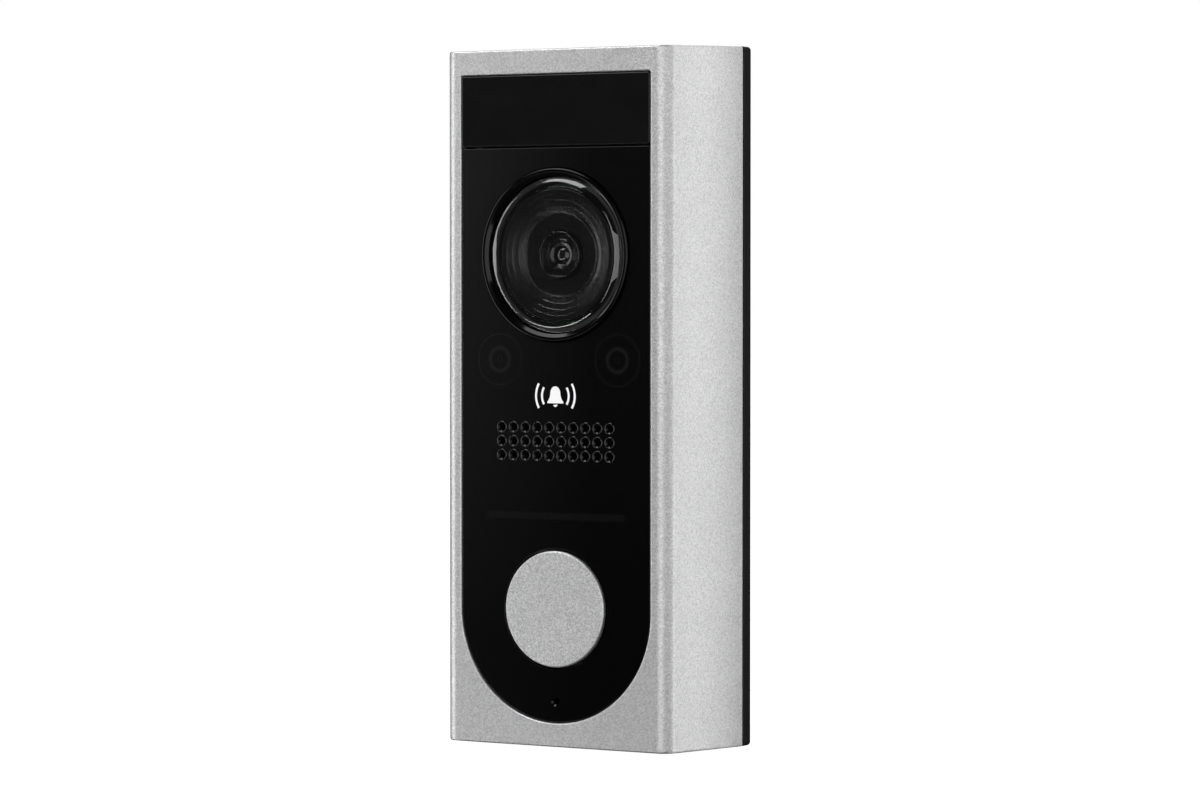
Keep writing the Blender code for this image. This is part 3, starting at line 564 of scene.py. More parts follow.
@dataclass(frozen=True)
class Finish:
    """A surface finish.

    Attributes:
        name: the material's name.
        slot: the record's material slot; not used.
        colour: base colour.
        roughness: middle roughness.
        metallic: metallic value.
        pattern: what breaks the surface up.
        grain: size of the pattern.
        relief: height of the pattern.
        mottle: share by which the colour varies.
        polish: how far the roughness varies.
        specular: strength of the plain reflection.
    """

    name: str
    slot: str
    colour: Colour
    roughness: float
    metallic: float = 0.0
    pattern: Pattern = Pattern.GRAIN
    grain: float = 0.3
    relief: float = 0.006
    mottle: float = 0.12
    polish: float = 0.06
    specular: float = 0.5

    def height(self, nodes: Nodes) -> Socket:
        """Relief of the pattern.

        Args:
            nodes: the material's nodes.

        Returns:
            The height, from 0 to 1.
        """
        if self.pattern is Pattern.BRUSHED:
            return nodes.noise(self.grain, 4.0, (0.06, 1.0, 1.0))
        if self.pattern is Pattern.FLAKE:
            both = nodes.maths("ADD", nodes.cells(self.grain), nodes.noise(self.grain * 0.8, 2.0))
            return nodes.product(both, 0.5)
        if self.pattern is Pattern.MOULDED:
            return nodes.maths("POWER", nodes.noise(self.grain, 2.0), 1.6)
        if self.pattern is Pattern.RUBBER:
            return nodes.noise(self.grain, 6.0)
        return nodes.noise(self.grain, 5.0)

    def tone(self, nodes: Nodes, height: Socket) -> Socket:
        """Factor on the base colour: a fine mottle, and a much weaker one in wide patches.

        Args:
            nodes: the material's nodes.
            height: relief of the pattern.

        Returns:
            The factor, about 1.
        """
        patches = self.mottle * 0.15
        patch_size = 9.0
        wide = nodes.remap(nodes.noise(patch_size, 2.0), 1.0 - patches, 1.0 + patches)
        fine = nodes.remap(height, 1.0 - self.mottle, 1.0 + self.mottle, 0.15, 0.85)
        return nodes.product(wide, fine)

    def shader(self, nodes: Nodes) -> bpy.types.Node:
        """The finish's main shader, with its pattern on colour, roughness and normal.

        Args:
            nodes: the material's nodes.

        Returns:
            The shader.
        """
        height = self.height(nodes)
        wear_size = 4.0
        smooth, dull = self.roughness - self.polish, self.roughness + self.polish
        rough = nodes.remap(nodes.noise(wear_size, 5.0), smooth, dull, 0.25, 0.75)
        return nodes.add("ShaderNodeBsdfPrincipled", {
            "Base Color": nodes.tinted(self.colour, self.tone(nodes, height)),
            "Roughness": rough,
            "Metallic": self.metallic,
            "Specular IOR Level": self.specular,
            "Normal": nodes.bump(height, self.relief),
        })

    def build(self) -> bpy.types.Material:
        """Makes the material."""
        nodes = Nodes(self.name)
        nodes.tree.links.new(self.shader(nodes).outputs[0], nodes.output.inputs["Surface"])
        return nodes.material


@dataclass(frozen=True)
class SmokedPlate(Finish):
    """Smoked gloss plate with what shows faintly through it and a faint painted sheen, a reflection painted
    into its colour.

    Attributes:
        led_x, led_shift, led_z: place of the infrared lights' marks, both moved to the right.
        rings: middle radius, half width and strength of each ring of a mark.
        band_half, band_low, band_high: sides of the paler strip below the sound holes.
        band_share: strength of the strip.
        blur: half width of the strip's soft edges.
        glimmer: how much paler the shapes behind the plate are.
        painted_sheen: painted reflection, how much paler the plate's colour is made towards its upper left
            corner.
        painted_sheen_least: share of the painted sheen that is left at the far side of each direction.
            painted_sheen_left, painted_sheen_right, painted_sheen_low, painted_sheen_high: where the painted
            sheen ends and is full.
    """

    led_x: float = 12.7
    led_shift: float = 0.6
    led_z: float = 7.0
    rings: tuple[tuple[float, float, float], ...] = ((0.5, 0.2, 0.5), (2.1, 0.6, 0.9), (4.7, 0.35, 0.4))
    band_half: float = 14.85
    band_low: float = -22.1
    band_high: float = -20.8
    band_share: float = 0.35
    blur: float = 0.08
    glimmer: float = 0.006
    painted_sheen: float = 0.0085
    painted_sheen_least: float = 0.25
    painted_sheen_left: float = -19.0
    painted_sheen_right: float = 8.0
    painted_sheen_low: float = -45.0
    painted_sheen_high: float = 40.0

    def marks(self, nodes: Nodes, x: Socket, z: Socket) -> Socket:
        """Rings round each light: a point's radius is the root of dx squared plus dz squared.

        Args:
            nodes: the material's nodes.
            x: x of the point.
            z: z of the point.

        Returns:
            Strength of the rings at the point.
        """
        across = nodes.distance(nodes.distance(x, self.led_shift * MM), self.led_x * MM)
        above = nodes.distance(z, self.led_z * MM)
        squares = nodes.maths("ADD", nodes.maths("POWER", across, 2.0), nodes.maths("POWER", above, 2.0))
        radius = nodes.maths("SQRT", squares)
        total: Value = 0.0
        for middle, width, share in self.rings:
            ring = nodes.remap(nodes.distance(radius, middle * MM), share, 0.0, 0.0, width * MM)
            total = nodes.maths("ADD", total, ring)
        return total

    def band(self, nodes: Nodes, x: Socket, z: Socket) -> Socket:
        """The paler strip, 1 inside its sides and 0 outside, with a short blur between.

        Args:
            nodes: the material's nodes.
            x: x of the point.
            z: z of the point.

        Returns:
            Strength of the strip at the point.
        """
        half, blur = self.band_half * MM, self.blur * MM
        low, high = self.band_low * MM, self.band_high * MM
        beside = nodes.remap(nodes.distance(x, 0.0), 1.0, 0.0, half - blur, half + blur)
        above_low = nodes.remap(z, 0.0, 1.0, low - blur, low + blur)
        below_high = nodes.remap(z, 1.0, 0.0, high - blur, high + blur)
        return nodes.product(nodes.product(beside, above_low), below_high)

    def shader(self, nodes: Nodes) -> bpy.types.Node:
        """Adds the lights' rings, the paler strip and the painted sheen, a reflection painted into the base
        colour, to the plain plate.

        Args:
            nodes: the material's nodes.

        Returns:
            The shader.
        """
        shader = super().shader(nodes)
        place = nodes.add("ShaderNodeSeparateXYZ", {"Vector": nodes.place})
        x, z = place.outputs["X"], place.outputs["Z"]
        strip = nodes.product(self.band(nodes, x, z), self.band_share)
        shapes = nodes.maths("ADD", self.marks(nodes, x, z), strip)
        # Painted reflection: the base colour is made paler towards the upper left, standing in for a
        # reflection on the gloss.
        leftwards = nodes.remap(x, 1.0, self.painted_sheen_least, self.painted_sheen_left * MM, self.painted_sheen_right * MM)
        upwards = nodes.remap(z, self.painted_sheen_least, 1.0, self.painted_sheen_low * MM, self.painted_sheen_high * MM)
        painted_sheen = nodes.product(nodes.product(leftwards, upwards), self.painted_sheen)
        pale = nodes.maths("ADD", painted_sheen, nodes.product(shapes, self.glimmer))
        base = shader.inputs["Base Color"].links[0].from_socket
        glow = nodes.tinted((1.0, 1.0, 1.0), pale)
        total = nodes.add("ShaderNodeVectorMath", {0: base, 1: glow}, operation="ADD")
        nodes.tree.links.new(total.outputs[0], shader.inputs["Base Color"])
        return shader


@dataclass(frozen=True)
class ClearCover(Finish):
    """Clear moulding: mostly see-through, with a mirror share that grows to grazing angles.

    Attributes:
        tint: share of light that each face lets through.
        back_share: mirror share of a face seen from inside.
        strength: factor on the mirror share.
        index: index of refraction.
    """

    tint: float = 0.93
    back_share: float = 0.06
    strength: float = 1.7
    index: float = 1.49

    def build(self) -> bpy.types.Material:
        """Makes the material from a clear and a mirror shader.

        Returns:
            The material.
        """
        nodes = Nodes(self.name)
        smear = nodes.noise(3.0, 5.0)
        rough = nodes.remap(smear, self.roughness, self.roughness + self.polish, 0.4, 0.8)
        normal = nodes.bump(nodes.noise(self.grain, 3.0), self.relief)
        mirror = nodes.add("ShaderNodeBsdfAnisotropic", {"Color": (1.0, 1.0, 1.0, 1.0),
                                                         "Roughness": rough, "Normal": normal})
        clear = nodes.add("ShaderNodeBsdfTransparent", {"Color": (self.tint, self.tint, self.tint, 1.0)})
        fresnel = nodes.add("ShaderNodeFresnel", {"IOR": self.index, "Normal": normal})
        front = nodes.product(fresnel.outputs[0], self.strength)
        side = nodes.add("ShaderNodeNewGeometry")
        share = nodes.add("ShaderNodeMix", {"Factor": side.outputs["Backfacing"], 2: front,
                                            3: self.back_share})
        mixed = nodes.add("ShaderNodeMixShader", {0: share.outputs[0], 1: clear.outputs[0],
                                                  2: mirror.outputs[0]})
        nodes.tree.links.new(mixed.outputs[0], nodes.output.inputs["Surface"])
        return nodes.material


SHELL = Finish("satin_shell", "housing_metal", (0.655, 0.655, 0.66), 0.48, metallic=0.95,
               pattern=Pattern.FLAKE, grain=0.22, relief=0.050, mottle=0.26, polish=0.03)
KEY = Finish("satin_key", "button_metal", (0.72, 0.72, 0.725), 0.48, metallic=0.95,
             pattern=Pattern.FLAKE, grain=0.22, relief=0.060, mottle=0.36, polish=0.03)
PLATE = SmokedPlate("smoked_plate", "faceplate_gloss", (0.0006, 0.0006, 0.0007), 0.10,
                    grain=0.8, relief=0.0005, mottle=0.25, polish=0.03, specular=0.25)
WINDOW = Finish("motion_window", "window_gloss", (0.0036, 0.0036, 0.0038), 0.22,
                grain=0.5, relief=0.0008, mottle=0.2, polish=0.04, specular=0.25)
BRACKET = Finish("bracket_plastic", "bracket_plastic", (0.003, 0.003, 0.0033), 0.55,
                 pattern=Pattern.MOULDED, relief=0.02, mottle=0.2, polish=0.08, specular=0.13)
GLOSS = Finish("black_gloss", "black_satin", (0.0012, 0.0012, 0.0013), 0.11,
               grain=0.5, relief=0.0008, mottle=0.2, polish=0.04, specular=0.22)
LACQUER = Finish("black_lacquer", "black_satin", (0.0012, 0.0012, 0.0013), 0.14,
                 grain=0.5, relief=0.0008, mottle=0.2, polish=0.04, specular=0.6)
SATIN = Finish("black_satin", "black_satin", (0.006, 0.006, 0.0065), 0.24,
               grain=0.4, relief=0.002, mottle=0.2, polish=0.05)
MATTE = Finish("black_matte", "black_matte", (0.0016, 0.0016, 0.0018), 0.20,
               pattern=Pattern.MOULDED, grain=0.14, relief=0.0015, mottle=0.3, polish=0.04, specular=1.0)
SOFT = Finish("soft_rubber", "rubber", (0.018, 0.018, 0.019), 0.8,
              pattern=Pattern.RUBBER, grain=0.25, relief=0.02, mottle=0.2)
CLEAR = ClearCover("clear_cover", "clear_cover", (1.0, 1.0, 1.0), 0.015,
                   grain=1.2, relief=0.0004, mottle=0.0, polish=0.03)
LENS = Finish("coated_lens", "lens_glass", (0.006, 0.006, 0.008), 0.03,
              grain=0.8, relief=0.0002, mottle=0.2, polish=0.01, specular=0.9)
BOARD = Finish("board_lacquer", "circuit_board", (0.012, 0.075, 0.040), 0.4,
               grain=0.6, relief=0.01, mottle=0.25)
STEEL = Finish("plated_steel", "steel", (0.56, 0.56, 0.57), 0.30, metallic=1.0,
               pattern=Pattern.BRUSHED, grain=0.12, relief=0.003)
BRASS = Finish("brass", "brass", (0.70, 0.50, 0.22), 0.33, metallic=1.0,
               pattern=Pattern.BRUSHED, grain=0.15, relief=0.003, mottle=0.14)
CONE = Finish("pressed_paper", "cone_film", (0.05, 0.05, 0.055), 0.75,
              pattern=Pattern.RUBBER, grain=0.4, relief=0.02, mottle=0.3)
IVORY = Finish("ivory_plastic", "ivory_plastic", (0.68, 0.66, 0.60), 0.5,
               pattern=Pattern.MOULDED, grain=0.25, relief=0.008, mottle=0.06)
SLEEVE = Finish("shrink_sleeve", "sleeve", (0.03, 0.06, 0.16), 0.4,
                grain=0.5, relief=0.004, mottle=0.15)
INK = Finish("white_ink", "faceplate_gloss", (0.82, 0.82, 0.82), 0.45,
             grain=0.1, relief=0.002, mottle=0.05)


@dataclass(frozen=True)
class LitPaper(Finish):
    """Pale studio paper that is lit from below, so that it stays even into the distance.

    Attributes:
        glow: brightness of the light that comes through.
    """

    glow: float = 1.0

    def shader(self, nodes: Nodes) -> bpy.types.Node:
        """Adds the glow to the plain paper.

        Args:
            nodes: the material's nodes.

        Returns:
            The shader.
        """
        shader = super().shader(nodes)
        shader.inputs["Emission Color"].default_value = (1.0, 1.0, 1.0, 1.0)
        shader.inputs["Emission Strength"].default_value = self.glow
        return shader


PAPER = LitPaper("studio_paper", "housing_metal", (0.28, 0.28, 0.28), 0.9,
                 grain=4.0, relief=0.02, mottle=0.01)


class Wardrobe:
    """Makes each finish's material once and puts it on pieces."""

    def __init__(self) -> None:
        """Starts with no material made."""
        self.made: dict[str, bpy.types.Material] = {}

    def material(self, finish: Finish) -> bpy.types.Material:
        """The material of a finish, made on first use."""
        if finish.name not in self.made:
            self.made[finish.name] = finish.build()
        return self.made[finish.name]

    def dress(self, piece: bpy.types.Object, finish: Finish, body: str, *nodes: str) -> bpy.types.Object:
        """Finishes a new piece: material, shading, the body it rides on and what it replaces.

        Args:
            piece: the new piece.
            finish: its finish.
            body: the body it rides on.
            *nodes: the CAD nodes it stands for.

        Returns:
            The piece.
        """
        mesh = piece.data
        mesh.materials.clear()
        mesh.materials.append(self.material(finish))
        mesh.shade_smooth()
        mesh.set_sharp_from_angle(angle=SMOOTH_ANGLE)
        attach(piece, body)
        if nodes:
            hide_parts(*nodes)
        log.info("%s: %d faces", piece.name, len(mesh.polygons))
        return piece

    def redress(self, node: str, finish: Finish) -> None:
        """Puts a finish on a CAD node that stays in view.

        Args:
            node: the CAD node's name.
            finish: its finish.
        """
        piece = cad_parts[node]
        if not piece.material_slots:
            piece.data.materials.append(None)
        for slot in piece.material_slots:
            slot.material = self.material(finish)


# ---------------------------------------------------------------- sub-assemblies

@dataclass(frozen=True)
class Housing:
    """Metal shell: rounded front edges, drafted ends and the arched opening.

    Attributes:
        half_width: half the outer width.
        half_height: half the outer height at the front.
        draft: how far an end leans out for each millimetre of depth.
        depth: depth of the shell.
        fillet: radius of the upright front edges.
        edge: radius of the edges at the two ends and round the opening.
        wall: thickness of the front wall.
        cavity_half_width, cavity_half_height: half sizes of the hollow.
        opening: outline of the opening.
        boss_x, boss_heights, boss_radius, boss_front, boss_back: the four screw bosses.
        screw_depth: depth of the security screw's hole in the lower end.
        mouth, counterbore, clearance: radii of that hole from its mouth inwards.
        counterbore_top, clearance_top: heights at which its steps end.
    """

    half_width: float = 24.15
    half_height: float = 63.5
    draft: float = 1.0 / 29.4
    depth: float = 26.6
    fillet: float = 2.6
    edge: float = 0.3
    wall: float = 1.5
    cavity_half_width: float = 22.35
    cavity_half_height: float = 61.5
    opening: Arch = Arch(20.45, 59.0, -38.75)
    boss_x: float = 18.6
    boss_heights: tuple[float, float] = (52.0, -43.0)
    boss_radius: float = 2.4
    boss_front: float = 15.5
    boss_back: float = 23.4
    screw_depth: float = 21.4
    mouth: float = 2.75
    counterbore: float = 2.6
    clearance: float = 1.3
    counterbore_top: float = -62.6
    clearance_top: float = -60.0

    def ring(self, outline: Arch | Frame, offset: float, depth: float) -> np.ndarray:
        """One ring of the shell's grid: an outline at a depth."""
        return at_depth(outline.at(offset), depth)

    def outside(self, width: float, depth: float, inset: float = 0.0) -> np.ndarray:
        """Outer ring at a depth, where the ends have leaned out by draft times depth.

        Args:
            width: half the width of the ring.
            depth: its depth.
            inset: how far it lies inside the shell's outline.

        Returns:
            The ring's points.
        """
        lip = max(self.edge - depth, 0.0)
        end_round = self.edge - math.sqrt(self.edge ** 2 - lip ** 2)
        height = self.half_height + self.draft * depth - end_round - inset
        return self.ring(Frame(width - inset, height, self.opening.centre), 0.0, depth)

    def shell(self) -> Shape:
        """The shell as one grid: round the opening, over the front and sides, and back inside.

        The opening's edge is a quarter circle of radius edge.  The upright front edges are
        quarter circles too: at angle a the half width is W - f + f sin a and the depth is
        f (1 - cos a).

        Returns:
            The shell.
        """
        rings = [self.ring(self.opening, 0.0, self.wall), self.ring(self.opening, 0.0, self.edge + NEAR)]
        for turn in np.radians(np.linspace(0.0, 90.0, 6)):
            offset = -self.edge * (1.0 - math.cos(turn))
            rings.append(self.ring(self.opening, offset, self.edge * (1.0 - math.sin(turn))))
        rings.append(self.ring(self.opening, -self.edge - NEAR, 0.0))
        straight = self.half_width - self.fillet
        front = Frame(straight - NEAR, self.half_height - self.edge - NEAR, self.opening.centre)
        rings.append(self.ring(front, 0.0, 0.0))
        close_turns, wide_turns = np.linspace(0.0, 27.0, 7), np.linspace(32.0, 90.0, 11)
        for turn in np.radians(np.concatenate([close_turns, wide_turns])):
            depth = self.fillet * (1.0 - math.cos(turn))
            rings.append(self.outside(straight + self.fillet * math.sin(turn), depth))
        back_edge = 0.25
        rings.append(self.outside(self.half_width, self.fillet + 0.06))
        rings.append(self.outside(self.half_width, self.depth - back_edge - NEAR))
        rings.append(self.outside(self.half_width, self.depth - back_edge))
        rings.append(self.outside(self.half_width, self.depth, back_edge))
        cavity = Frame(self.cavity_half_width, self.cavity_half_height, self.opening.centre)
        rings.append(self.ring(cavity, 0.0, self.depth))
        rings.append(self.ring(cavity, 0.0, self.wall))
        return Shape().skin(np.stack(rings), Ends.JOINED)

    def bosses(self) -> Shape:
        """Screw bosses that grow out of the side walls, each with its hole.

        Returns:
            The four bosses.
        """
        shape = Shape()
        front, back, radius = self.boss_front, self.boss_back, self.boss_radius
        bore, core, floor = 1.15, 0.6, front + 2.0
        ring = rounded([(bore, floor, 0.0), (bore, back, 0.1), (radius, back, 0.2), (radius, front, 0.3),
                        (core, front, 0.0), (core, floor, 0.0)], closed=True)
        half = 2.2
        for side in (-1, 1):
            for height in self.boss_heights:
                shape.turned(ring, (side * self.boss_x, height), sides=SMALL)
                reach = sorted((side * (self.boss_x + 1.7), side * (self.cavity_half_width + 0.4)))
                web = Panel(reach[0], reach[1], height - half, height + half, 0.2, 2)
                shape.plate(web, between(front, back))
        return shape

    def build(self, wardrobe: Wardrobe) -> None:
        """Makes the shell, its security hole and its bosses.

        Args:
            wardrobe: maker of the finishes.
        """
        piece = self.shell().make("shell")
        low = -self.half_height - 1.0
        hole = np.array([(self.mouth, low - 2.0), (self.mouth, low + 0.05), (self.counterbore, low + 0.35),
                         (self.counterbore, self.counterbore_top), (self.clearance, self.counterbore_top),
                         (self.clearance, self.clearance_top)])
        combine(piece, Shape().upright(hole, 0.0, self.screw_depth), "DIFFERENCE")
        bosses = self.bosses().make("bosses")
        wardrobe.dress(piece, SHELL, "housing", "front_housing")
        wardrobe.dress(bosses, SHELL, "housing", "front_housing")


@dataclass(frozen=True)
class FrontPlates:
    """Faceplate with its holes, motion window and printed bell sign.

    Attributes:
        half: half width of both plates.
        plate_front, plate_back, plate_top: the faceplate.
        arch: height of the faceplate's half-round end.
        flange_front, flange_reach: the thin flange behind the shell's wall.
        window_front, window_bottom, window_top: the motion window.
        camera_z, camera_hole: the camera's hole.
        button_z, button_hole: the call button's hole.
        microphone_z, microphone_mouth, microphone_bore: the microphone hole.
        grille_z, row_pitch, column_pitch, rows, columns, hole, bore: the sound holes.
    """

    half: float = 20.3
    plate_front: float = 0.35
    plate_back: float = 2.4
    plate_top: float = 45.6
    arch: float = -38.75
    flange_front: float = 1.65
    flange_reach: float = 1.3
    window_front: float = 0.05
    window_bottom: float = 45.9
    window_top: float = 58.85
    camera_z: float = axis_of("camera_bezel")[1]
    camera_hole: float = 15.9
    button_z: float = -38.4
    button_hole: float = 11.05
    microphone_z: float = -55.2
    microphone_mouth: float = 0.95
    microphone_bore: float = 0.6
    grille_z: float = -7.9
    row_pitch: float = 2.55
    column_pitch: float = 2.59
    rows: int = 3
    columns: int = 10
    hole: float = 1.0
    bore: float = 0.66

    def funnel(self, centre: Point, outer: float, inner: float, sides: int, cutters: Shape) -> None:
        """Adds a hole cutter that narrows just behind the plate's face.

        Args:
            centre: x and z of the hole.
            outer: radius at the plate's face.
            inner: radius behind it.
            sides: sides of the hole.
            cutters: the shape that the cutter is added to.
        """
        face = self.plate_front
        slope = (outer - inner) * 0.9
        profile = rounded([(outer, face - 2.0, 0.0), (outer, face, 0.05), (inner, face + slope, 0.05),
                           (inner, self.plate_back + 2.0, 0.0)], steps=3)
        cutters.turned(profile, centre, Ends.FILLED, sides)

    def faceplate(self) -> bpy.types.Object:
        """The faceplate: an arched plate, its flange, and every hole cut through.

        Returns:
            The plate.
        """
        outline = Arch(self.half, self.plate_top, self.arch)
        profile = rounded([(0.35, self.plate_front, 0.0), (0.0, self.plate_front, 0.18),
                           (0.0, self.plate_back, 0.0)], steps=5)
        piece = Shape().plate(outline, profile).make("face_plate")
        flange = Arch(self.half + self.flange_reach, self.plate_top - 0.1, self.arch)
        combine(piece, Shape().plate(flange, between(self.flange_front, self.plate_back - 0.1)), "UNION")
        cutters = Shape()
        self.funnel((0.0, self.camera_z), self.camera_hole + 0.1, self.camera_hole, ROUND, cutters)
        self.funnel((0.0, self.button_z), self.button_hole + 0.12, self.button_hole, ROUND, cutters)
        self.funnel((0.0, self.microphone_z), self.microphone_mouth, self.microphone_bore, SMALL, cutters)
        for place in self.sound_holes():
            self.funnel(place, self.hole - 0.06, self.bore, 32, cutters)
        combine(piece, cutters, "DIFFERENCE")
        return piece

    def sound_holes(self) -> list[Point]:
        """Middle of every sound hole, row by row."""
        return [((column - (self.columns - 1) / 2) * self.column_pitch,
                 self.grille_z + (row - (self.rows - 1) / 2) * self.row_pitch)
                for row in range(self.rows) for column in range(self.columns)]

    def hole_rims(self) -> bpy.types.Object:
        """A fine raised bead round each sound hole, half sunk in the plate.

        The bead's section is an ellipse: radius r + 0.11 cos a, depth d + 0.09 sin a.

        Returns:
            The beads, as one piece.
        """
        turn = np.radians(np.linspace(0.0, 360.0, 12, endpoint=False))
        across = self.hole - 0.04 + 0.11 * np.cos(turn)
        bead = np.stack([across, self.plate_front + 0.01 + 0.09 * np.sin(turn)], axis=1)
        shape = Shape()
        for place in self.sound_holes():
            shape.turned(bead, place, sides=32)
        return shape.make("sound_hole_rims")

    def window(self) -> bpy.types.Object:
        """The motion window: a plate with soft edges, a flange and a recess at its back.

        Returns:
            The window.
        """
        outline = Panel(-self.half, self.half, self.window_bottom, self.window_top, 0.4)
        profile = rounded([(0.5, self.window_front, 0.0), (0.0, self.window_front, 0.22),
                           (0.0, self.plate_back, 0.0)], steps=5)
        piece = Shape().plate(outline, profile).make("motion_window")
        reach = self.half + self.flange_reach
        flange = Panel(-reach, reach, self.window_bottom + 0.1, self.window_top + self.flange_reach, 0.4)
        combine(piece, Shape().plate(flange, between(self.flange_front, self.plate_back - 0.1)), "UNION")
        side, rail = 2.0, 1.6
        recess = Panel(side - self.half, self.half - side,
                       self.window_bottom + rail, self.window_top - rail, 0.8)
        hollow = np.array([(0.3, 1.1), (0.0, 1.4), (0.0, self.plate_back + 2.0)])
        combine(piece, Shape().plate(recess, hollow), "DIFFERENCE")
        return piece

    def bell_sign(self) -> bpy.types.Object:
        """A generic bell with two sound arcs on each side, printed on the faceplate.

        The bell's half width at share t of its height, from the top, is a half circle at
        the crown and then flares as t to the fourth power.

        Returns:
            The sign.
        """
        front, back = self.plate_front - 0.02, self.plate_front + 0.02
        middle = 0.45
        shape = Shape()
        share = np.linspace(0.0, 1.0, 40)
        crown = np.clip(share / 0.45, 0.0, 1.0)
        width = 1.05 * np.sqrt(np.clip(1.0 - (1.0 - crown) ** 2, 0.0, 1.0)) + 0.6 * share ** 4
        height = middle + 1.75 - 2.75 * share
        right = np.stack([width, height], axis=1)
        left = np.stack([-width[::-1], height[::-1]], axis=1)[:-1]
        body = np.concatenate([right, left])
        self.printed(shape, body, front, back)
        rail = Panel(-1.75, 1.75, middle - 1.35, middle - 1.0, 0.15, 4).at(0.0)
        self.printed(shape, rail, front, back)
        self.printed(shape, sweep((0.0, middle - 1.55), 0.45, 0, -180, 16), front, back)
        turn = np.radians(np.linspace(-32.0, 32.0, 25))
        line = 0.42
        for side in (-1, 1):
            for radius in (3.1, 4.4):
                outer, inner = (np.stack([side * reach * np.cos(turn), middle + reach * np.sin(turn)], axis=1)
                                for reach in (radius, radius - line))
                self.printed(shape, np.concatenate([outer, inner[::-1]]), front, back)
        return shape.make("bell_sign")

    def printed(self, shape: Shape, flat: np.ndarray, front: float, back: float) -> None:
        """Adds a thin layer of ink with this outline."""
        shape.skin(np.stack([at_depth(flat, depth) for depth in (front, back)]), Ends.FILLED)

    def build(self, wardrobe: Wardrobe) -> None:
        """Makes both plates and the sign.

        Args:
            wardrobe: maker of the finishes.
        """
        wardrobe.dress(self.faceplate(), PLATE, "housing", "faceplate")
        wardrobe.dress(self.hole_rims(), LACQUER, "housing")
        wardrobe.dress(self.window(), WINDOW, "housing", "pir_window")
        wardrobe.dress(self.bell_sign(), INK, "housing")


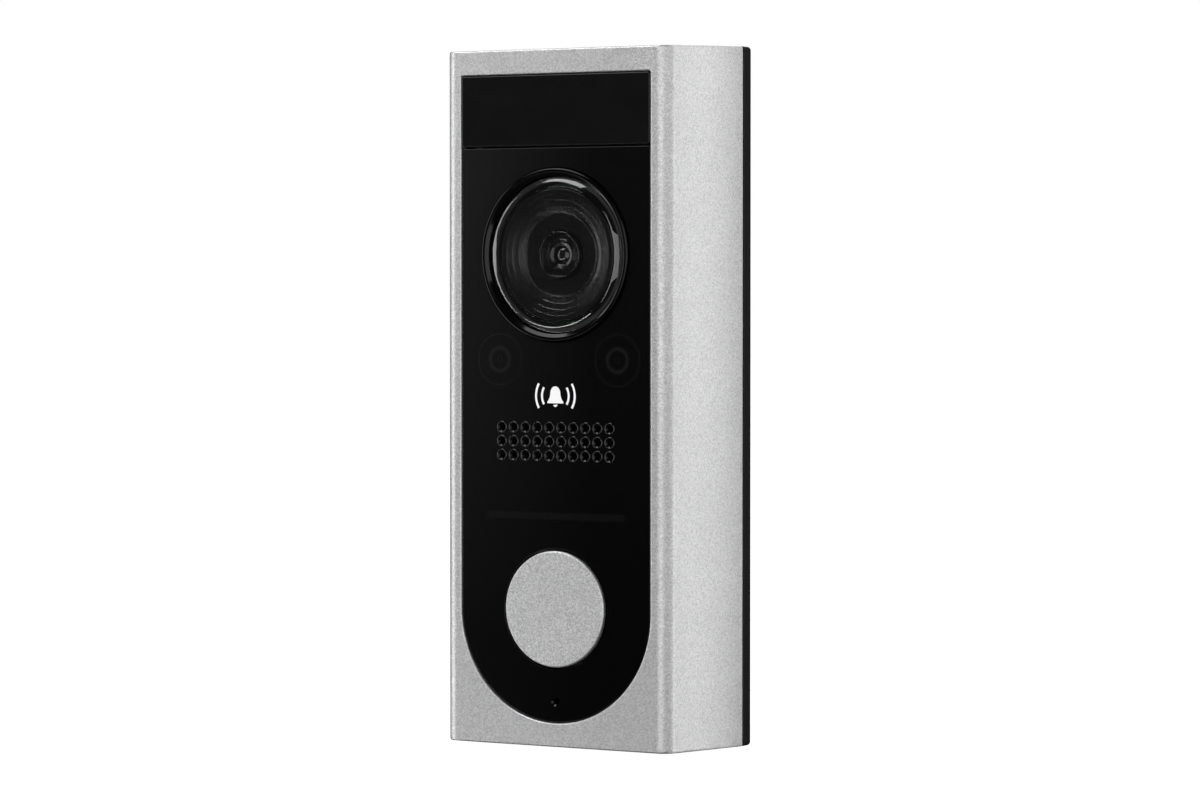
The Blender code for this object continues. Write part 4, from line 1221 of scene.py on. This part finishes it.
@dataclass(frozen=True)
class Camera:
    """The camera: bezel, clear dome, stepped baffle, barrel and front lens.

    Attributes:
        centre: x and z of the camera's axis.
        bezel_radius, bezel_front: the bezel's rim.
        throat, seat, seat_depth: the bezel's inner radius, and the seat under the dome.
        flange, flange_front, flange_back: the bezel's flange.
        cover_radius, cover_edge, cover_rise, cover_wall, cover_chamfer: the clear dome.
        baffle_radius, baffle_back: outer radius and back of the baffle.
        first_step, first_depth: radius and depth of the baffle's first edge.
        steps, riser, tread, slope: number of steps, their height, their width and how far
            each tread falls inwards.
        ledge: radius of the fine ridge on the baffle's floor.
        floor_hole, floor_back, hollow: the hole for the barrel, and the baffle's hollow back.
        barrel_radius, barrel_back, lens_seat, bore: the lens barrel.
        lens_radius: radius of the front lens.
    """

    centre: Point = axis_of("camera_bezel")
    bezel_radius: float = 15.75
    bezel_front: float = -0.25
    throat: float = 14.4
    seat: float = 13.2
    seat_depth: float = 2.1
    flange: float = 17.2
    flange_front: float = 2.6
    flange_back: float = 3.4
    cover_radius: float = 14.15
    cover_edge: float = 0.05
    cover_rise: float = 1.45
    cover_wall: float = 1.1
    cover_chamfer: float = 0.85
    baffle_radius: float = 12.05
    baffle_back: float = 5.4
    first_step: float = 11.085
    tread: float = 1.135
    riser: float = 0.28
    slope: float = 0.19
    steps: int = 4
    first_depth: float = 0.95
    ledge: float = 7.68
    floor_hole: float = 4.6
    floor_back: float = 3.2
    hollow: float = 11.0
    barrel_radius: float = 4.3
    barrel_back: float = 9.0
    lens_seat: float = 1.75
    bore: float = 1.25
    lens_radius: float = 1.56

    def bezel(self) -> Shape:
        """Ring with a rounded rim that slopes in to the dome.

        Returns:
            The bezel.
        """
        radius, front = self.bezel_radius, self.bezel_front
        return Shape().turned(rounded([
            (radius, self.flange_front, 0.0), (radius, front, 0.5), (radius - 0.7, front, 0.25),
            (self.throat, 0.15, 0.08), (self.throat, self.seat_depth, 0.05),
            (self.seat, self.seat_depth, 0.05), (self.seat, self.flange_back, 0.1),
            (self.flange, self.flange_back, 0.1), (self.flange, self.flange_front, 0.1),
        ], closed=True, steps=8), self.centre)

    def dome_depth(self, radius: np.ndarray, apex: float) -> np.ndarray:
        """Depth of the dome: apex + R - sqrt(R squared - radius squared), a shallow sphere."""
        sphere = (self.cover_radius ** 2 + self.cover_rise ** 2) / (2 * self.cover_rise)
        return apex + sphere - np.sqrt(sphere ** 2 - radius ** 2)

    def cover(self) -> Shape:
        """Clear dome of even thickness with a chamfered rim.

        Returns:
            The dome.
        """
        apex = self.cover_edge - self.cover_rise
        shoulder = self.cover_radius - self.cover_chamfer
        outer = np.linspace(0.3, shoulder, 40)
        inner = np.linspace(12.3, 0.3, 36)
        edge = float(self.dome_depth(outer[-1:], apex)[0])
        back_face = self.cover_edge + 1.05
        rim = rounded([(shoulder, edge, 0.0), (shoulder + 0.01, edge + 0.004, 0.0),
                       (self.cover_radius, edge + self.cover_chamfer * 0.8, 0.1),
                       (self.cover_radius, back_face, 0.15), (12.4, back_face, 0.15),
                       (12.3, float(self.dome_depth(inner[:1], apex + self.cover_wall)[0]), 0.0)], steps=5)
        front = np.stack([outer, self.dome_depth(outer, apex)], axis=1)
        back = np.stack([inner, self.dome_depth(inner, apex + self.cover_wall)], axis=1)
        return Shape().turned(np.concatenate([front[:-1], rim, back[1:]]), self.centre, Ends.POINTED)

    def baffle(self) -> Shape:
        """Rings that step down towards the lens, and a fine ridge on their floor.

        Returns:
            The baffle.
        """
        radius, depth = self.first_step, self.first_depth
        corners = [(self.baffle_radius, self.baffle_back, 0.0), (self.baffle_radius, depth, 0.08),
                   (radius, depth, 0.06)]
        for _ in range(self.steps - 1):
            depth += self.riser
            corners.append((radius - 0.04, depth, 0.05))
            depth += self.slope
            radius -= self.tread
            corners.append((radius, depth, 0.14))
        crest, half_crest = depth - 0.25, 0.14
        corners[-1] = (self.ledge + 0.2, depth, 0.03)
        corners += [(self.ledge + half_crest, crest, 0.12), (self.ledge - half_crest, crest, 0.12),
                    (self.ledge - 0.24, depth + 0.05, 0.03), (self.floor_hole, depth + 0.15, 0.06),
                    (self.floor_hole, self.floor_back, 0.0), (self.hollow, self.floor_back, 0.0),
                    (self.hollow, self.baffle_back, 0.0)]
        return Shape().turned(rounded(corners, closed=True, steps=4, support=0.02), self.centre)

    def barrel(self) -> Shape:
        """Lens barrel with its rim, its sloping face and the seat of the front lens.

        Returns:
            The barrel.
        """
        rim = [(self.barrel_radius, 1.62, 0.14), (4.0, 1.6, 0.1), (3.85, 1.95, 0.05)]
        face = [(3.0, 2.1, 0.05), (2.8, 1.95, 0.06), (2.5, 1.95, 0.08), (2.35, 2.35, 0.05)]
        seat_floor = 3.85
        seat = [(self.lens_seat, 2.55, 0.05), (self.lens_seat, seat_floor, 0.0), (self.bore, seat_floor, 0.0)]
        corners = [(self.barrel_radius, self.barrel_back, 0.0), *rim, *face, *seat,
                   (self.bore, self.barrel_back, 0.0)]
        return Shape().turned(rounded(corners, closed=True, steps=4, support=0.02), self.centre)

    def front_lens(self) -> Shape:
        """Small lens: its front is part of an ellipse, r = R sin a, depth = 3.25 - 0.7 cos a.

        Returns:
            The lens.
        """
        turn = np.radians(np.linspace(4.0, 90.0, 22))
        front = np.stack([self.lens_radius * np.sin(turn), 3.25 - 0.7 * np.cos(turn)], axis=1)
        back = np.array([(self.lens_radius, 3.75), (0.2, 3.75)])
        return Shape().turned(np.concatenate([front, back]), self.centre, Ends.POINTED, 96)

    def seal(self) -> Shape:
        """Flat rubber ring under the dome's rim.

        Returns:
            The seal.
        """
        front, back = self.cover_edge + 1.17, 1.98
        inner, outer, edge = 13.3, 14.2, 0.08
        corners = [(inner, front, edge), (outer, front, edge), (outer, back, edge), (inner, back, edge)]
        return Shape().turned(rounded(corners, closed=True, steps=3), self.centre)

    def build(self, wardrobe: Wardrobe) -> None:
        """Makes every piece of the camera that shows.

        Args:
            wardrobe: maker of the finishes.
        """
        wardrobe.dress(self.bezel().make("bezel"), GLOSS, "housing", "camera_bezel")
        wardrobe.dress(self.cover().make("dome"), CLEAR, "housing", "camera_cover")
        wardrobe.dress(self.seal().make("dome_seal"), SOFT, "housing", "cover_seal")
        wardrobe.dress(self.baffle().make("baffle"), MATTE, "housing", "lens_baffle")
        wardrobe.dress(self.barrel().make("barrel"), LACQUER, "housing", "lens_barrel")
        wardrobe.dress(self.front_lens().make("lens"), LENS, "housing", "front_lens")


@dataclass(frozen=True)
class CallButton:
    """Round metal key on its black carrier.

    Attributes:
        centre: x and z of the button's axis.
        radius, front, back, edge: the key.
        disc, flange, post: radii of the carrier's steps, from the front.
    """

    centre: Point = (0.0, -38.4)
    radius: float = 10.62
    front: float = -0.12
    back: float = 0.75
    edge: float = 0.35
    disc: float = 10.5
    flange: float = 12.2
    post: float = 3.0

    def key(self) -> Shape:
        """Flat disc with a rounded rim.

        Returns:
            The key.
        """
        profile = rounded([(0.3, self.front, 0.0), (self.radius, self.front, self.edge),
                           (self.radius, self.back, 0.08), (0.3, self.back, 0.0)], steps=8)
        return Shape().turned(profile, self.centre, Ends.POINTED, 224)

    def carrier(self) -> Shape:
        """Carrier behind the key: a disc, a wider flange and the post that presses the switch.

        Returns:
            The carrier.
        """
        front, shoulder, floor, tip = 0.9, 2.6, 3.5, 6.1
        profile = rounded([(0.3, front, 0.0), (self.disc, front, 0.1), (self.disc, shoulder, 0.1),
                           (self.flange, shoulder, 0.1), (self.flange, floor, 0.1), (self.post, floor, 0.2),
                           (self.post, tip, 0.2), (0.3, tip, 0.0)], steps=4)
        return Shape().turned(profile, self.centre, Ends.POINTED)

    def build(self, wardrobe: Wardrobe) -> None:
        """Makes the key and its carrier.

        Args:
            wardrobe: maker of the finishes.
        """
        wardrobe.dress(self.key().make("key"), KEY, "call_button", "button_cap")
        wardrobe.dress(self.carrier().make("key_carrier"), SATIN, "call_button", "button_carrier")


@dataclass(frozen=True)
class Bracket:
    """Black wall bracket: a flat plate with hooks, a lug and its openings.

    Attributes:
        half_width, half_height, front, back: the plate.
        hook_x, hook_half, hook_heights, stem, lip, reach: the four hooks.
        lug_low, lug_high, lug_tip, lug_half: the lug for the security screw.
        screw_depth: depth of the security screw.
        wires: the opening for the wires.
        wall_hole, wall_slot, slot_half: heights of the two wall screws' holes, and half the
            length by which the lower one is drawn out.
    """

    half_width: float = 24.15
    half_height: float = 64.45
    front: float = 26.8
    back: float = 29.4
    hook_x: float = 14.0
    hook_half: float = 3.0
    hook_heights: tuple[float, float] = (28.0, -2.0)
    stem: float = 2.5
    lip: float = 3.2
    reach: float = 4.6
    lug_low: float = -57.0
    lug_high: float = -53.8
    lug_tip: float = 18.8
    lug_half: float = 5.0
    screw_depth: float = 21.4
    wires: Panel = Panel(-13.0, 13.0, -36.0, -7.0, 2.0)
    wall_hole: float = 47.0
    wall_slot: float = -45.0
    slot_half: float = 1.5

    def hook(self, height: float) -> np.ndarray:
        """Section of a hook that stands up from its stem.

        Args:
            height: height of the stem's underside.

        Returns:
            (depth, height) rows.
        """
        root, tip = self.front + 0.5, self.front - self.reach
        back, crook = tip + 1.7, height + self.stem
        top = crook + self.lip
        return rounded([(root, height, 0.0), (tip, height, 0.5), (tip, top, 0.4), (back, top, 0.4),
                        (back, crook, 0.3), (root, crook, 0.0)], closed=True, steps=4)

    def screw_hole(self, height: float, slot: float) -> Shape:
        """Countersunk cutter, drawn out into an upright slot.

        Args:
            height: height of its middle.
            slot: half the length by which it is drawn out.

        Returns:
            The cutter.
        """
        head, shank, mouth = 4.1, 2.2, 2.35
        rings = []
        for radius, depth in ((head + 2.0, self.front - 2.0), (head, self.front), (shank, self.front + 1.9),
                              (shank, self.back - 0.15), (mouth, self.back), (mouth, self.back + 2.0)):
            upper = sweep((0.0, height + slot), radius, 0, 180, 24)
            lower = sweep((0.0, height - slot), radius, 180, 360, 24)
            rings.append(at_depth(np.concatenate([upper, lower]), depth))
        return Shape().skin(np.stack(rings), Ends.FILLED)

    def build(self, wardrobe: Wardrobe) -> None:
        """Makes the plate, joins hooks and lug on, and cuts the openings.

        Args:
            wardrobe: maker of the finishes.
        """
        outline = Panel(-self.half_width, self.half_width, -self.half_height, self.half_height, 0.8)
        edge = 0.2
        profile = rounded([(0.6, self.front, 0.0), (0.0, self.front, edge), (0.0, self.back, edge),
                           (0.6, self.back, 0.0)], steps=3)
        piece = Shape().plate(outline, profile).make("bracket")
        for side in (-1, 1):
            for height in self.hook_heights:
                middle = side * self.hook_x
                bar = Shape().bar(self.hook(height), middle - self.hook_half, middle + self.hook_half, 0.2)
                combine(piece, bar, "UNION")
        root = self.front + 0.5
        lug = rounded([(root, self.lug_low, 0.0), (self.lug_tip, self.lug_low, 0.4),
                       (self.lug_tip, self.lug_high, 0.4), (root, self.lug_high, 0.0)], closed=True, steps=4)
        combine(piece, Shape().bar(lug, -self.lug_half, self.lug_half, 0.2), "UNION")
        thread = 1.3
        screw = np.array([(thread, self.lug_low - 3.0), (thread, self.lug_high + 3.0)])
        combine(piece, Shape().upright(screw, 0.0, self.screw_depth), "DIFFERENCE")
        opening = np.array([(0.0, self.front - 2.0), (0.0, self.back - 0.15), (-0.15, self.back),
                            (-0.15, self.back + 2.0)])
        combine(piece, Shape().plate(self.wires, opening), "DIFFERENCE")
        combine(piece, self.screw_hole(self.wall_hole, 0.01), "DIFFERENCE")
        combine(piece, self.screw_hole(self.wall_slot, self.slot_half), "DIFFERENCE")
        wardrobe.dress(piece, BRACKET, "bracket", "wall_bracket")


@dataclass(frozen=True)
class Fasteners:
    """Screws and the set-up button, as seen from behind and below.

    Attributes:
        terminal_x, terminal_z: place of the terminal screws, the left one mirrored.
        head_radius, head_front, head_back: their heads.
        lock_depth: depth of the upright security screw.
        reset_z: height of the set-up button.
    """

    terminal_x: float = 6.2
    terminal_z: float = -22.0
    head_radius: float = 3.0
    head_front: float = 24.3
    head_back: float = 25.7
    lock_depth: float = 21.4
    reset_z: float = -10.8

    def terminal_screw(self, x: float) -> bpy.types.Object:
        """Pan-head screw with a cross slot.

        Args:
            x: x of the screw's axis.

        Returns:
            The screw.
        """
        tip, shank = 17.0, 1.6
        profile = rounded([(0.3, tip, 0.0), (shank, tip, 0.3), (shank, self.head_front, 0.1),
                           (self.head_radius, self.head_front, 0.1), (self.head_radius, self.head_back, 0.45),
                           (0.3, self.head_back, 0.0)], steps=6)
        piece = Shape().turned(profile, (x, self.terminal_z), Ends.POINTED, SMALL).make("terminal_screw")
        for half_x, half_z in ((2.2, 0.4), (0.4, 2.2)):
            slot = Panel(x - half_x, x + half_x, self.terminal_z - half_z, self.terminal_z + half_z, 0.1, 3)
            combine(piece, Shape().plate(slot, between(25.0, 27.0)), "DIFFERENCE")
        return piece

    def lock_screw(self) -> bpy.types.Object:
        """Upright security screw with a six-sided drive in its head.

        Returns:
            The screw.
        """
        low, seat, head, shank = -64.0, -62.75, 2.3, 1.05
        profile = rounded([(0.2, low, 0.0), (head, low, 0.35), (head, seat, 0.1), (shank, seat, 0.1),
                           (shank, -53.3, 0.3), (0.2, -53.1, 0.0)], steps=5)
        piece = Shape().upright(profile, 0.0, self.lock_depth).make("lock_screw")
        drive = np.array([(1.1, -65.0), (1.1, -63.2)])
        combine(piece, Shape().upright(drive, 0.0, self.lock_depth, 6), "DIFFERENCE")
        return piece

    def reset_pin(self) -> Shape:
        """Set-up button: a pin with a flange that keeps it in the cover.

        Returns:
            The button.
        """
        tip, flange_front, flange_back, end = 18.2, 23.0, 24.0, 25.9
        stem, flange, cap = 1.2, 2.3, 1.35
        profile = rounded([(0.2, tip, 0.0), (stem, tip, 0.1), (stem, flange_front, 0.1),
                           (flange, flange_front, 0.1), (flange, flange_back, 0.1), (cap, flange_back, 0.1),
                           (cap, end, 0.3), (0.2, end, 0.0)], steps=5)
        return Shape().turned(profile, (0.0, self.reset_z), Ends.POINTED, SMALL)

    def build(self, wardrobe: Wardrobe) -> None:
        """Makes the screws and the button.

        Args:
            wardrobe: maker of the finishes.
        """
        for side, label in ((-1, "left"), (1, "right")):
            screw = self.terminal_screw(side * self.terminal_x)
            screw.name = f"clamp_screw_{label}"
            wardrobe.dress(screw, STEEL, "housing", f"terminal_screw_{label}")
        wardrobe.dress(self.lock_screw(), STEEL, "housing", "security_screw")
        wardrobe.dress(self.reset_pin().make("setup_pin"), IVORY, "setup_button", "reset_button")


@dataclass(frozen=True)
class Inside:
    """Finishes of the CAD nodes that stay as they are."""

    def build(self, wardrobe: Wardrobe) -> None:
        """Dresses every CAD node that no new piece stands for.

        Args:
            wardrobe: maker of the finishes.
        """
        finishes = {
            "rear_cover": MATTE, "inner_frame": MATTE, "lens_mount": MATTE, "speaker_mesh": MATTE,
            "button_switch": MATTE, "reset_switch": MATTE, "power_inductor": MATTE,
            "speaker_frame": SATIN, "terminal_block": SATIN,
            "led_collar_left": SOFT, "led_collar_right": SOFT, "speaker_gasket": SOFT,
            "microphone_boot": SOFT, "button_seal": SOFT, "housing_seal": SOFT,
            "infrared_led_left": CLEAR, "infrared_led_right": CLEAR,
            "image_sensor": LENS, "camera_board": BOARD, "main_board": BOARD,
            "board_connector": IVORY, "switch_plunger": IVORY, "speaker_cone": CONE,
            "backup_capacitor": SLEEVE,
            "speaker_magnet": STEEL, "pir_sensor": STEEL, "processor_shield": STEEL,
            "cover_screw_left_upper": STEEL, "cover_screw_left_lower": STEEL,
            "cover_screw_right_upper": STEEL, "cover_screw_right_lower": STEEL,
            "terminal_plate_left": BRASS, "terminal_plate_right": BRASS, "wifi_antenna": BRASS,
            "microphone": BRASS,
        }
        for node, finish in finishes.items():
            wardrobe.redress(node, finish)
        log.info("dressed %d frame nodes", len(finishes))


# ---------------------------------------------------------------- studio

@dataclass(frozen=True)
class Softbox:
    """Area light that faces the object, or another point.

    Attributes:
        name: the light's name.
        azimuth: where it stands, in degrees from the front towards the right.
        elevation: how high it stands, in degrees.
        distance: how far from the object's middle, in metres.
        width, height: its size in metres.
        radiance: how bright its face is, where 1 shows as white.
    """

    name: str
    azimuth: float
    elevation: float
    distance: float
    width: float
    height: float
    radiance: float

    def build(self) -> None:
        """Makes the light; its power is radiance times pi times its area."""
        turn, rise = math.radians(self.azimuth), math.radians(self.elevation)
        away = Vector((math.sin(turn) * math.cos(rise), -math.cos(turn) * math.cos(rise), math.sin(rise)))
        data = bpy.data.lights.new(self.name, "AREA")
        data.shape = "RECTANGLE"
        data.size = self.width
        data.size_y = self.height
        data.energy = self.radiance * math.pi * self.width * self.height
        light = bpy.data.objects.new(self.name, data)
        light.location = away * self.distance
        light.rotation_euler = (-away).to_track_quat("-Z", "Y").to_euler()
        light.visible_camera = False
        bpy.context.scene.collection.objects.link(light)


@dataclass(frozen=True)
class Studio:
    """Camera, pale floor, dim room and softboxes.

    Attributes:
        camera_place: where the camera stands, in metres.
        turn: how far the camera looks to the left, in degrees.
        tilt: how far it looks down, in degrees.
        focal: focal length for a 36 mm wide sensor.
        floor_radius: radius of the floor, in metres.
        room: brightness of the room.
        backdrop: brightness of what is seen behind everything.
    """

    camera_place: tuple[float, float, float] = (0.4395, -0.7085, 0.0209)
    turn: float = 32.322
    tilt: float = 1.5
    focal: float = 133.57
    floor_radius: float = 4.0
    room: float = 0.03
    backdrop: float = 1.0

    def camera(self) -> None:
        """Stands the camera and makes it the scene's."""
        turn, tilt = math.radians(self.turn), math.radians(self.tilt)
        ahead = Vector((-math.sin(turn) * math.cos(tilt), math.cos(turn) * math.cos(tilt), -math.sin(tilt)))
        data = bpy.data.cameras.new("camera")
        data.lens = self.focal
        data.sensor_width = 36.0
        data.clip_start = 0.01
        data.clip_end = 20.0
        camera = bpy.data.objects.new("camera", data)
        camera.location = self.camera_place
        camera.rotation_euler = ahead.to_track_quat("-Z", "Y").to_euler()
        bpy.context.scene.collection.objects.link(camera)
        bpy.context.scene.camera = camera

    def world(self) -> None:
        """A dim grey room that the eye sees as a pale backdrop."""
        world = bpy.data.worlds.new("room")
        world.use_nodes = True
        tree = world.node_tree
        tree.nodes.clear()
        output = tree.nodes.new("ShaderNodeOutputWorld")
        mix = tree.nodes.new("ShaderNodeMixShader")
        path = tree.nodes.new("ShaderNodeLightPath")
        tree.links.new(path.outputs["Is Camera Ray"], mix.inputs[0])
        for number, level in ((1, self.room), (2, self.backdrop)):
            shade = tree.nodes.new("ShaderNodeBackground")
            shade.inputs["Color"].default_value = (level, level, level, 1.0)
            tree.links.new(shade.outputs[0], mix.inputs[number])
        tree.links.new(mix.outputs[0], output.inputs["Surface"])
        bpy.context.scene.world = world

    def floor(self, wardrobe: Wardrobe) -> None:
        """A pale round sheet under the object, left out of mirrors so that black gloss stays black.

        Args:
            wardrobe: maker of the finishes.
        """
        low = CAD_BOUNDS[0][2] - 0.02 * MM
        ring = sweep((0.0, 0.0), self.floor_radius, 0, 360, 96)
        points = np.stack([ring[:, 0], ring[:, 1], np.full(len(ring), low)], axis=1)
        mesh = bpy.data.meshes.new("floor")
        mesh.from_pydata(points.tolist(), [], [list(range(len(ring)))])
        sheet = bpy.data.objects.new("floor", mesh)
        mesh.materials.append(wardrobe.material(PAPER))
        bpy.context.scene.collection.objects.link(sheet)
        sheet.visible_glossy = False

    def lights(self) -> None:
        """Softboxes above, in front, beside and behind.

        None of them stands where the flat faceplate would mirror it into the camera.  The
        two strips stand close to the right side.
        """
        boxes = (
            Softbox("overhead", -40.0, 50.0, 0.5, 0.28, 0.34, 4.6),
            Softbox("left_bank", -64.0, -2.0, 0.6, 0.24, 0.60, 3.2),
            Softbox("front_bank", 15.0, 0.0, 1.2, 1.06, 0.9, 1.9),
            Softbox("right_bank", 66.0, 12.0, 1.2, 0.95, 0.9, 1.25),
            Softbox("side_strip", 92.0, 1.0, 0.046, 0.016, 0.26, 2.0),
            Softbox("edge_strip", 104.0, 1.0, 0.078, 0.026, 0.26, 1.2),
            Softbox("edge_bank", 100.0, 0.0, 1.0, 0.5, 0.6, 1.0),
            Softbox("under_glow", -34.0, -22.0, 0.6, 0.40, 0.05, 6.0),
            Softbox("floor_wash", 180.0, 50.0, 1.5, 1.4, 0.8, 1.6),
        )
        for box in boxes:
            box.build()

    def build(self, wardrobe: Wardrobe) -> None:
        """Makes the room, the floor and the lights; the camera is stood by camera().

        Args:
            wardrobe: maker of the finishes.
        """
        self.world()
        self.floor(wardrobe)
        self.lights()
        bpy.context.scene.view_settings.view_transform = "Standard"


def write_sizes() -> None:
    """Writes nothing: only defines a helper that turns a box's two corners into plain lists."""
    def plain(box: object) -> list[list[float]]:
        """The two corners of a box as lists of plain numbers."""
        return [[float(value) for value in corner] for corner in box]


def main() -> None:
    """Builds the doorbell and its studio."""
    logging.basicConfig(level=logging.INFO, format="%(message)s")
    wardrobe = Wardrobe()
    studio = Studio()
    studio.camera()
    for assembly in (Housing(), FrontPlates(), Camera(), CallButton(), Bracket(), Fasteners(), Inside()):
        assembly.build(wardrobe)
    studio.build(wardrobe)
    write_sizes()


if __name__ == "__main__":
    main()
